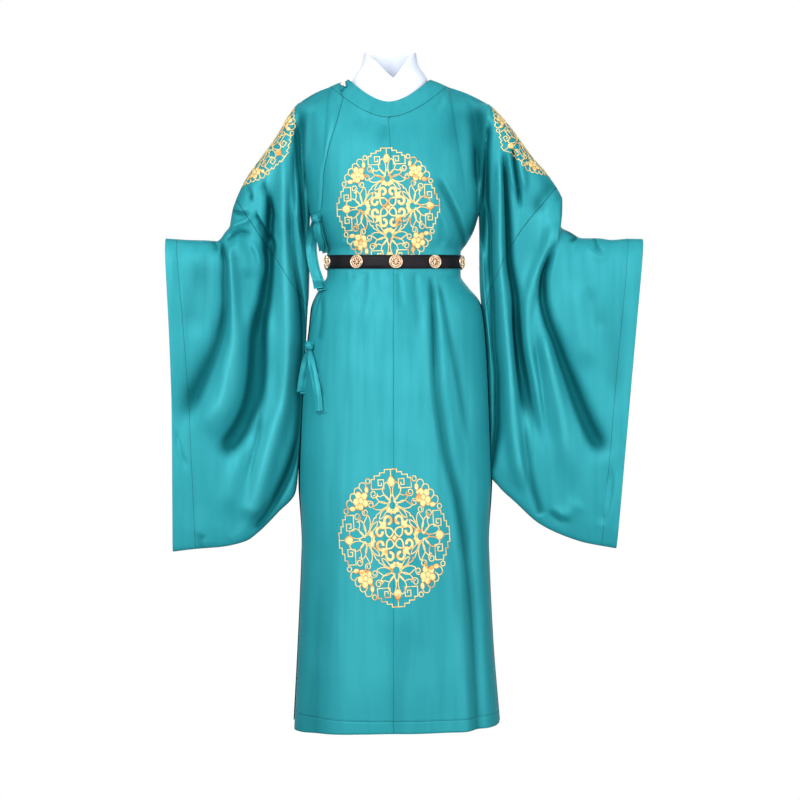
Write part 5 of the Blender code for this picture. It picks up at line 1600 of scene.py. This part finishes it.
left_body = left_cloth.make("cloth_left", satin)
right_body = right_cloth.make("cloth_right", satin)
overlap = overlap_cloth.make("cloth_overlap", satin)
for piece, flat, area, nodes in (
    (left_body, (0.50, 2.86), 0.85, ("front_left_panel", "sleeve_left_upper", "back_left_panel")),
    (right_body, (0.50, 2.86), 0.75, ("front_right_panel", "sleeve_right_upper", "back_right_panel")),
    (overlap, (0.36, 1.40), 0.32, ("front_overlap_panel",)),
):
    ride_and_replace(piece, nodes)

for side, table, area in (("right", RIGHT_SLEEVE, 0.46), ("left", LEFT_SLEEVE, 0.5)):
    lower = make_lower_sleeve(table, side, satin)
    ride_and_replace(lower, ("sleeve_" + side + "_lower",))

# ================================================================ embroidery on the cloth

STITCH_STEP = 2.3
STITCH_HEIGHT = 0.65
RIDGE_HALF = 9.0
SHOULDER_PART, SHOULDER_STOPS, SLEEVE_STOPS = 0.25, 12, 60
FLAT_ROUNDELS = (
    ("chest", (-11.5, -282.0), (106.4, 123.0), 2.0),
    ("lower", (1.6, -965.4), (114.0, 141.2), 3.5),
)
SHOULDER_ROUNDELS = (
    ("right", RIGHT_SLEEVE, right_body, (-262.0, -146.0), (111.0, 103.0)),
    ("left", LEFT_SLEEVE, left_body, (264.0, -133.0), (103.0, 101.0)),
)

thread = stitched_material("gold thread")


def make_roundel(name, place, half_size):
    work = Raised(place, half_size, STITCH_STEP, STITCH_HEIGHT)
    add_roundel(work)
    ride_and_replace(work.make(name, thread))


front_tree = surface_tree(left_body, overlap)
for name, centre, half_size, turn in FLAT_ROUNDELS:
    make_roundel("roundel_" + name, flat_place(front_tree, centre, np.array(half_size), turn), half_size)

for side, table, cloth_piece, centre, half_size in SHOULDER_ROUNDELS:
    shoulder = np.linspace(NECK_SHARE * SHOULDER_PART, 0, SHOULDER_STOPS)
    shoulder = top_edge(shoulder if side == "right" else 1 - shoulder, False)[:, [0, 2]]
    stations = np.linspace(0, SLEEVE_SEAM, SLEEVE_STOPS)[1:]
    size = read_table(STATION_COLUMNS, table, np.arange(len(table)), stations)
    line = np.concatenate([shoulder, np.stack([size["top_x"], size["top_z"]], axis=1)])
    middle = run_of(line)[np.argmin(np.linalg.norm(line - centre, axis=1))]
    place = shoulder_place(surface_tree(cloth_piece), line, middle, half_size)
    make_roundel("roundel_" + side + "_shoulder", place, half_size)

# ================================================================ collar band and button

BAND_ROWS = 12
BAND_COLUMNS = 230
BAND_SWELL = 1.6
BAND_TILT = 0.6
UNDER_BAND_FROM = (384.0, 346.0)
UNDER_BAND_REACH = math.radians(18)
BAND_TUCK = ((3.6, 1.6), (2.2, 1.3), (0.9, 0.7))
BALL = (5.4, 18, 28)
BEAD = (2.3, 12, 18)
BEAD_PLACE = (4.2, -2.4, -4.0)

band_rows = []
for part in np.linspace(0, 1, BAND_ROWS):
    first = BAND_END_LOW + (BAND_END_TOP - BAND_END_LOW) * part
    angle = np.linspace(first, BAND_UNDER_END, BAND_COLUMNS)
    low, top = neck_ring(BAND_LOW, angle), neck_ring(BAND_TOP, angle)
    out = unit(np.stack([-np.cos(angle), -np.sin(angle), BAND_TILT + 0 * angle], axis=1))
    under_from = math.radians(UNDER_BAND_FROM[0] + (UNDER_BAND_FROM[1] - UNDER_BAND_FROM[0]) * part)
    depth = BAND_STEP * ease((angle - under_from) / UNDER_BAND_REACH)
    swell = BAND_SWELL * (0.4 + 0.6 * math.sin(math.pi * part))
    band_rows.append(low + (top - low) * part + out * (swell - depth)[:, None])
    if part == 0:
        tuck = [
            low + out * (swell - depth - inwards)[:, None] - np.array([0.0, 0.0, drop])
            for inwards, drop in BAND_TUCK
        ]
band = np.stack(band_rows)
band_normals = grid_normals(band, False, None)
whole_band = np.concatenate([np.stack(tuck), band, turned_in_last(band, band_normals, BAND_TURN)])
whole_band = np.concatenate([turned_in_side(whole_band, None, BAND_END_TURN), whole_band], axis=1)
band_cloth = Cloth()
band_cloth.add(whole_band, seam=to_line(whole_band, band[0]))
collar = band_cloth.make("collar_cloth", satin)
ride_and_replace(collar, ("collar_band",))

pearl = pearl_material("button pearl")
button_centre = sum(np.array(corner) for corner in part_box("collar_button")) / 2 / MM
button_out = band_normals[6, 2]


def pearl_ball(name, centre, radius, rows, steps):
    profile = [(radius * math.sin(a), -radius * math.cos(a)) for a in np.linspace(0, math.pi, rows)]
    return turned_solid(name, centre, button_out, profile, steps, pearl)


ball = pearl_ball("ball", button_centre, *BALL)
bead = pearl_ball("bead", button_centre + BEAD_PLACE, *BEAD)
ride_and_replace(joined("pearl_button", [ball, bead]), ("collar_button",))

# ================================================================ ties and button loop

TIE_INSIDE = 12.0
TIE_COLUMNS = ("x", "clear", "height", "half_width", "turn")
UPPER_SHORT_TIE = (
    (-160, 15, -309, 5.0, -0.2),
    (-161, 17, -322, 8.0, -0.3),
    (-158, 18, -338, 8.5, -0.4),
    (-154, 17, -352, 7.5, -0.5),
    (-152, 16, -366, 6.5, -0.5),
)
UPPER_LONG_TIE = (
    (-168, 11, -309, 5.0, 0.3),
    (-174, 9, -330, 8.5, 0.3),
    (-177, 8, -358, 9.5, 0.1),
    (-173, 9, -394, 9.5, 0.0),
    (-164, 8, -425, 10.0, -0.1),
    (-158, 8, -447, 10.5, -0.2),
)
LOWER_SHORT_TIE = (
    (-181, 9, -578, 4.5, 0.3),
    (-186, 8, -600, 8.0, 0.2),
    (-191, 9, -630, 9.5, 0.1),
    (-195, 10, -664, 10.5, 0.1),
)
LOWER_LONG_TIE = (
    (-177, 10, -578, 4.5, -0.2),
    (-172, 9, -604, 8.0, -0.3),
    (-164, 8, -640, 9.0, -0.4),
    (-158, 6, -672, 9.0, -0.4),
    (-155, 6, -706, 9.5, -0.5),
)
TIE_SHADOW = (7.0, 3.2, 4.0)
TIE_WALL = 0.9
PLEAT_PLACE, PLEAT_DRIFT, PLEAT_WIDTH, PLEAT_FADE = 0.25, 0.5, 0.35, 0.6
FRONT_PLEAT = 2.2
BACK_PLEAT = -1.0
RIBBON_WAVE = 1.5
RIBBON_ROWS = 70
RIBBON_COLUMNS = 17
KNOT_CREASE = 1.6
END_SAG = 1.2
SWEPT_ROWS = 34
PLEATS_AROUND = 5
KNOT_CLEAR = 13.0
KNOT_BANDS = (
    (((-6, 4, 7), (-3, -3, 5), (1, -6, 0), (4, -3, -6), (5, 4, -9)), 3.6, 2.4),
    (((6, 4, 5), (3, -5, 4), (-2, -8, 0), (-5, -5, -4), (-7, 4, -7)), 3.4, 2.2),
    (((-1, 5, 9), (0, -4, 6), (0, -7.5, 0), (-1, -4, -7), (-2, 5, -9)), 3.0, 2.0),
    (((-8, 3, 1), (-5, -3, 1), (0, -5, -1), (5, -3, -2), (8, 3, -2)), 3.2, 2.2),
)
STUB_END = (4.0, -2.0, 4.0)
STUB_DIP = 1.5
STUB_BAND = (4.2, 1.6)
LOOP_RADIUS = 8.2
LOOP_THICK = 1.15
LOOP_GAP = 0.16
LOOP_BEHIND, LOOP_DROP, LOOP_SWELL = 4.6, 1.0, 1.6
LOOP_TAILS = ((0.8, 1.6), (-0.4, 0.0))
TAIL_DROPS = (5.0, 11.0)


def ahead_of_cloth(x, clear, height):
    """A point clear of the front's surface, as far ahead as that surface lies a little way inwards."""
    size = ring_sides(height)
    cosine = np.clip(-(x + TIE_INSIDE) / size["right"], 0, 0.985)
    return -size["front"] * (1 - cosine**2) ** (SIDE_ROUNDNESS / 2) - clear


def ribbon(route, pleat, seed, aside=0.0, behind=0.0, longer=0.0):
    """A hanging ribbon: a soft channel runs down it and it waves a little. Returns its grid."""
    known = {name: column(TIE_COLUMNS, route, name) for name in TIE_COLUMNS}
    known["height"] = known["height"] - longer * np.linspace(0, 1, len(route))
    known["x"] = known["x"] + aside * np.linspace(0.3, 1, len(route))
    known["y"] = ahead_of_cloth(known["x"] - aside, known["clear"] - behind, known["height"])
    spots = np.stack([known["x"], known["y"], known["height"]], axis=1)
    run = run_of(spots)
    at = np.linspace(0, run[-1], RIBBON_ROWS)
    middle = resample(spots, RIBBON_ROWS)
    half = smooth_read(run, known["half_width"], at)
    turn = smooth_read(run, known["turn"], at)
    across = np.linspace(-1, 1, RIBBON_COLUMNS)
    share = (at / run[-1])[:, None]
    side = np.stack([np.cos(turn), np.sin(turn), 0 * turn], axis=1)
    front = np.stack([np.sin(turn), -np.cos(turn), 0 * turn], axis=1)
    from_pleat = (across[None, :] - PLEAT_PLACE + PLEAT_DRIFT * share) / PLEAT_WIDTH
    depth = pleat * np.exp(-(from_pleat**2)) * (1 - PLEAT_FADE * share)
    depth = depth + RIBBON_WAVE * soft_noise(across[None, :] * 4, at[:, None], 9, 17, seed)
    depth = depth - KNOT_CREASE * (1 - share) ** 2 * np.cos(across * 9)[None, :] * np.exp(-6 * share)
    points = middle[:, None] + side[:, None] * (half[:, None] * across)[..., None]
    points = points + front[:, None] * depth[..., None]
    points[..., 2] += END_SAG * across[None, :] * ease((share - 0.9) / 0.1)
    return points


def swept(path, half_width, half_thick, front, steps=14, pleats=0.0):
    """A band of soft oval section along a path, with lengthwise pleats."""
    middle = resample(path, SWEPT_ROWS)
    ahead = unit(np.gradient(middle, axis=0))
    side = unit(np.cross(ahead, np.array(front, float)))
    out = np.cross(side, ahead)
    angle = np.linspace(0, 2 * math.pi, steps + 1)[:-1]
    wide = half_width * np.cos(angle)[:, None]
    thick = (half_thick * np.sin(angle) * (1 + pleats * np.cos(angle * PLEATS_AROUND)))[:, None]
    return middle[:, None] + side[:, None] * wide + out[:, None] * thick


def tie_piece(name, node, route, seed):
    """A folded ribbon end: its front layer, and the darker layer behind that shows past its edge."""
    layers = [
        strip_mesh("layer", grid, plain_satin, thick=TIE_WALL)
        for grid in (ribbon(route, FRONT_PLEAT, seed), ribbon(route, BACK_PLEAT, seed + 1, *TIE_SHADOW))
    ]
    piece = joined(name, layers)
    ride_and_replace(piece, (node,))


def knot_piece(name, node, centre, edge):
    """A small twisted knot: bands that wrap over each other, and the stub that comes from the cloth's edge."""
    x, z = centre
    spot = np.array([x, float(ahead_of_cloth(x, KNOT_CLEAR, z)), z])
    grids = [
        swept(spot + np.array(path), wide, thick, (0, -1, 0), pleats=0.2) for path, wide, thick in KNOT_BANDS
    ]
    stub = np.linspace(edge, spot + STUB_END, 5)
    stub[1:4, 1] -= STUB_DIP
    grids.append(swept(stub, *STUB_BAND, (0, -1, 0), pleats=0.3))
    parts = [strip_mesh("band", grid, plain_satin, around=True) for grid in grids]
    ride_and_replace(joined(name, parts), (node,))


plain_satin = satin_material("satin ties", False)
tie_piece("tie_upper_front", "tie_upper_short", UPPER_SHORT_TIE, 21)
tie_piece("tie_upper_back", "tie_upper_long", UPPER_LONG_TIE, 24)
tie_piece("tie_lower_front", "tie_lower_short", LOWER_SHORT_TIE, 27)
tie_piece("tie_lower_back", "tie_lower_long", LOWER_LONG_TIE, 30)
knot_piece("knot_upper", "tie_upper_knot", (-163.0, -303.0), (-152.5, -62.0, -292.0))
knot_piece("knot_lower", "tie_lower_knot", (-178.0, -568.0), (-164.0, -58.0, -560.0))

loop_side, loop_up = frame_about(button_out, upright=True)
loop_foot = button_centre - button_out * LOOP_BEHIND
loop_path = [
    loop_foot + loop_side * (LOOP_RADIUS * math.sin(a)) + loop_up * (-LOOP_RADIUS * math.cos(a) - LOOP_DROP)
    + button_out * (LOOP_SWELL * math.cos(a / 2) ** 2)
    for a in np.linspace(LOOP_GAP, 2 * math.pi - LOOP_GAP, 15)
]
tail, other_tail = (
    [
        end, end - loop_up * TAIL_DROPS[0] + loop_side * near,
        end - loop_up * TAIL_DROPS[1] + loop_side * far - button_out,
    ]
    for end, (near, far) in zip((loop_path[0], loop_path[-1]), LOOP_TAILS)
)
loop_line = tail[::-1] + loop_path[1:-1] + other_tail
loop_cord = swept(loop_line, LOOP_THICK, LOOP_THICK, button_out, steps=10, pleats=0.15)
button_loop = strip_mesh("button_loop_cord", loop_cord, plain_satin, around=True)
ride_and_replace(button_loop, ("button_loop",))

# ================================================================ belt and plaques

BELT_WIDTH = 28.5
BELT_THICK = 3.0
BELT_CLEAR = 1.4
BELT_FRONT_DROOP = 7.0
BELT_STEPS = 300
LAP = math.radians(14)
LAP_CLEAR = 0.8
HALF_SECTION = (
    (1.0, -BELT_THICK * 0.7), (1.0, -0.8), (0.93, -0.1), (0.86, 0.0), (0.83, -0.35), (0.8, 0.0), (0.4, 0.15),
)
PLAQUE_RADIUS = 14.0
PLAQUE_COUNT = 9
PLAQUE_FOOT = 2.0
LATTICE_FOOT = 1.8
PLATE = ((0, 0.4), (12.6, 0.4), (12.8, 1.6), (0, 1.9))
BOSS = ((2.6, 1.6), (2.5, 2.9), (1.6, 3.8), (0, 4.1))
RIM_MIDDLE, RIM_SIZE, RIM_STEPS_ROUND = (13.0, 2.2), (1.1, 1.5), 13
ROSETTE_LOOPS = 8
ROSETTE_PETAL = ((0.16, 0), (0.42, 0.17), (0.66, 0), (0.42, -0.17))
ROSETTE_RING = (0.69, 0.13)
ROSETTE_SPOKE = (0.66, 0.9)


def belt_route(angle, clear):
    """A point outside the waist. Angle 0 is the wearer's right and 90 degrees is the front."""
    waist = ring_sides(BELT_MIDDLE)
    cosine, sine = np.cos(angle), np.sin(angle)
    depth = np.where(sine > 0, waist["front"], waist["back"]) + clear
    half = (waist["left"] + waist["right"]) / 2 + clear
    x = -half * cosine
    y = -np.sign(sine) * depth * np.abs(sine) ** SIDE_ROUNDNESS
    z = BELT_MIDDLE - BELT_FRONT_DROOP * np.clip(sine, 0, 1) + BELT_FRONT_DROOP / 2
    return np.stack([x, y, z], axis=-1)


angle = np.linspace(-math.pi / 2, math.pi * 1.5 + LAP, BELT_STEPS)
lift = (BELT_THICK + LAP_CLEAR) * ease((angle - (math.pi * 1.5 - LAP * 1.6)) / (LAP * 1.4))
middle = belt_route(angle, BELT_CLEAR + BELT_THICK)
out = unit(middle - belt_route(angle, BELT_CLEAR + BELT_THICK - 1.0))
middle = middle + out * lift[:, None]
section = [
    (-0.86, -BELT_THICK), *((-across, depth) for across, depth in HALF_SECTION),
    (0.0, 0.2), *HALF_SECTION[::-1], (0.86, -BELT_THICK),
]
belt_grid = np.stack([
    middle + out * depth + np.array([0.0, 0.0, BELT_WIDTH / 2 * across]) for across, depth in section
], axis=1)
belt = strip_mesh("belt_leather_strap", belt_grid, leather_material("belt leather"), around=True, sharp=40)
ride_and_replace(belt, ("belt_strap",))

gold = metal_material("plaque gold", GOLD, 0.26)
bronze = metal_material("plaque ground", BRONZE, 0.5)
waist = ring_sides(BELT_MIDDLE)
rim_profile = [
    (RIM_MIDDLE[0] + RIM_SIZE[0] * math.cos(a), RIM_MIDDLE[1] + RIM_SIZE[1] * math.sin(a))
    for a in np.linspace(-math.pi, math.pi, RIM_STEPS_ROUND)
]


def plaque_place(foot, facing):
    """Places flat points on the face of a plaque."""
    side, up = frame_about(facing, upright=True)

    def place(flat):
        across, along = flat[:, :1] * PLAQUE_RADIUS * side, flat[:, 1:] * PLAQUE_RADIUS * up
        spots = foot + facing * LATTICE_FOOT + across + along
        return spots, np.repeat(facing[None, :], len(flat), axis=0), np.ones(len(flat), bool)

    return place


def add_rosette(work):
    """Petals round the boss, a small ring between each two and a spoke out to the rim."""
    for loop in range(ROSETTE_LOOPS):
        angle = 2 * math.pi * loop / ROSETTE_LOOPS
        way, across = on_circle(angle), np.array([-math.sin(angle), math.cos(angle)])
        work.line([way * out + across * aside for out, aside in ROSETTE_PETAL], 0.75, closed=True)
        knot = on_circle(angle + math.pi / ROSETTE_LOOPS) * ROSETTE_RING[0]
        work.line(ring_points(knot, ROSETTE_RING[1], count=8)[:-1], 0.7, closed=True, lift=-0.1)
        work.line([way * out for out in ROSETTE_SPOKE], 0.8)


for number in range(1, PLAQUE_COUNT + 1):
    node = "belt_plaque_" + str(number)
    low, high = (np.array(corner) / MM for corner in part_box(node))
    centre = (low + high) / 2
    facing = unit(np.array([centre[0] / waist["left"] ** 2, centre[1] / waist["front"] ** 2, 0.0]))
    foot = centre - facing * PLAQUE_FOOT
    work = Raised(plaque_place(foot, facing), (PLAQUE_RADIUS, PLAQUE_RADIUS), 1.2, 1.5, 0.2)
    add_rosette(work)
    plaque = joined("plaque_" + str(number), [
        turned_solid("plate", foot, facing, PLATE, 40, bronze),
        turned_solid("rim", foot, facing, rim_profile, 48, gold),
        turned_solid("boss", foot, facing, BOSS, 20, gold),
        work.make("lattice", gold),
    ])
    ride_and_replace(plaque, (node,))

# ================================================================ inner collar

INNER_COLUMNS = ("height", "half_width", "front", "back")
INNER_SECTIONS = (
    (-64, 90, 60, 60),
    (-30, 87, 57, 56),
    (0, 82, 55, 53),
    (12, 76, 54, 51),
    (36, 61, 50, 46),
    (64, 56, 47, 43),
)
INNER_MIDDLE_X = -9.0
INNER_EDGE_COLUMNS = ("angle", "top", "step")
INNER_EDGE = (
    (130, -40, 5.0),
    (110, -16, 5.0),
    (94, 0, 5.0),
    (69, 28, 4.5),
    (28, 54, 3.0),
    (0, 62, 1.5),
    (-90, 64, 0.0),
    (-180, 62, 0.0),
    (-205, 57, 0.0),
    (-244, 27, 0.0),
    (-266, -4, 0.0),
    (-290, -28, 0.0),
    (-312, -50, 0.0),
)
INNER_LOW = -62.0
INNER_STEPS = 260
INNER_ROWS = 40
INNER_WALL = 1.2
CREASE = 1.4

edge_angles = np.radians(column(INNER_EDGE_COLUMNS, INNER_EDGE, "angle"))[::-1]
angle = np.linspace(edge_angles[0], edge_angles[-1], INNER_STEPS)
rim = read_table(INNER_EDGE_COLUMNS, INNER_EDGE[::-1], edge_angles, angle, ("top", "step"))
heights = column(INNER_COLUMNS, INNER_SECTIONS, "height")
inner_rows = []
for part in np.linspace(0, 1, INNER_ROWS):
    z = INNER_LOW + (rim["top"] - INNER_LOW) * part
    size = read_table(INNER_COLUMNS, INNER_SECTIONS, heights, z, INNER_COLUMNS[1:])
    crease = CREASE * np.exp(-(((z - 10) / 16) ** 2)) * np.sin(angle * 7 + z / 15)
    depth = np.where(np.sin(angle) > 0, size["front"] - rim["step"], size["back"] - rim["step"])
    x = INNER_MIDDLE_X - (size["half_width"] - rim["step"] - crease * 0.5) * np.cos(angle)
    inner_rows.append(np.stack([x, -np.sin(angle) * (depth - crease * 0.5), z], axis=-1))
cotton = cotton_material("inner cotton")
inner = strip_mesh("inner_collar_cloth", np.stack(inner_rows), cotton, thick=INNER_WALL)
ride_and_replace(inner, ("inner_collar",))

# ================================================================ floor, camera and light
# From here on, lengths are in metres.

FLOOR_HALF = 120.0
FLOOR_BELOW_HEM = 0.012
WHITE = (1.0, 1.0, 1.0, 1.0)
GREY = (0.19, 0.21, 0.23, 1.0)
WHITE_BEHIND = (0.72, 0.9)
CAMERA_PLACE = (0.013, -3.5, -0.682)
CAMERA_LENS, CAMERA_SENSOR = 73.5, 36.0
LIGHTS = (  # name, place, the point that it aims at, width and height, power
    ("key", (-1.3, -3.3, 0.7), (0, 0, -0.7), (1.3, 2.4), 112),
    ("front", (0.6, -3.6, 0.0), (0, 0, -0.7), (2.6, 2.8), 52),
    ("fill right", (2.9, -2.2, -0.6), (0, 0, -0.9), (1.4, 2.6), 60),
    ("fill left", (-2.9, -2.2, -0.3), (0, 0, -0.8), (1.4, 2.6), 28),
    ("top", (0.0, -0.6, 2.4), (0, 0, -0.6), (2.4, 1.6), 22),
    ("back", (0.4, 3.0, 0.6), (0, 0, -0.7), (2.4, 2.4), 45),
)


def add_floor():
    """A plain floor, as white as the photo's ground. Only the camera sees it, so it adds no light."""
    z = (HEM - HEM_SIDE_DROP) * MM - FLOOR_BELOW_HEM
    square = [(x * FLOOR_HALF, y * FLOOR_HALF, z) for x, y in ((-1, -1), (1, -1), (1, 1), (-1, 1))]
    mesh = bpy.data.meshes.new("floor")
    mesh.from_pydata(square, [], [(0, 1, 2, 3)])
    white = Nodes("floor white", (0.0, 0.0, 0.0), 1.0, specular=0.0)
    floor = finish_object("floor", mesh, white.set(Emission_Color=WHITE, Emission_Strength=1.0))
    floor.visible_diffuse = floor.visible_glossy = floor.visible_transmission = floor.visible_shadow = False


def add_camera():
    data = bpy.data.cameras.new("camera")
    data.sensor_width, data.lens = CAMERA_SENSOR, CAMERA_LENS
    camera = linked("camera", data)
    camera.location = CAMERA_PLACE
    camera.rotation_euler = (math.radians(90), 0, 0)
    bpy.context.scene.camera = camera


def add_softbox(name, place, aim, size, power):
    light = bpy.data.lights.new(name, "AREA")
    light.shape, light.size, light.size_y = "RECTANGLE", *size
    light.energy = power
    obj = linked(name, light)
    obj.location = place
    obj.rotation_euler = (Vector(aim) - Vector(place)).to_track_quat("-Z", "Y").to_euler()


def add_surround():
    """A surround that is white behind the robe and grey in front of it, where the satin mirrors it."""
    world = bpy.data.worlds.new("surround")
    world.use_nodes = True
    bpy.context.scene.world = world
    tree = world.node_tree
    place, split, share, mix = (
        tree.nodes.new("ShaderNode" + kind) for kind in ("TexCoord", "SeparateXYZ", "MapRange", "Mix")
    )
    share.interpolation_type, mix.data_type = "SMOOTHSTEP", "RGBA"
    for number, value in enumerate((*WHITE_BEHIND, 0.0, 1.0), 1):
        share.inputs[number].default_value = value
    mix.inputs[6].default_value, mix.inputs[7].default_value = GREY, WHITE
    background = tree.nodes["Background"]
    background.inputs["Strength"].default_value = 1.0
    for source, target in (
        (place.outputs["Generated"], split.inputs[0]),
        (split.outputs["Y"], share.inputs[0]),
        (share.outputs[0], mix.inputs[0]),
        (mix.outputs[2], background.inputs["Color"]),
    ):
        tree.links.new(source, target)


add_floor()
add_camera()
for light in LIGHTS:
    add_softbox(*light)
add_surround()
bpy.context.scene.view_settings.view_transform = "Standard"
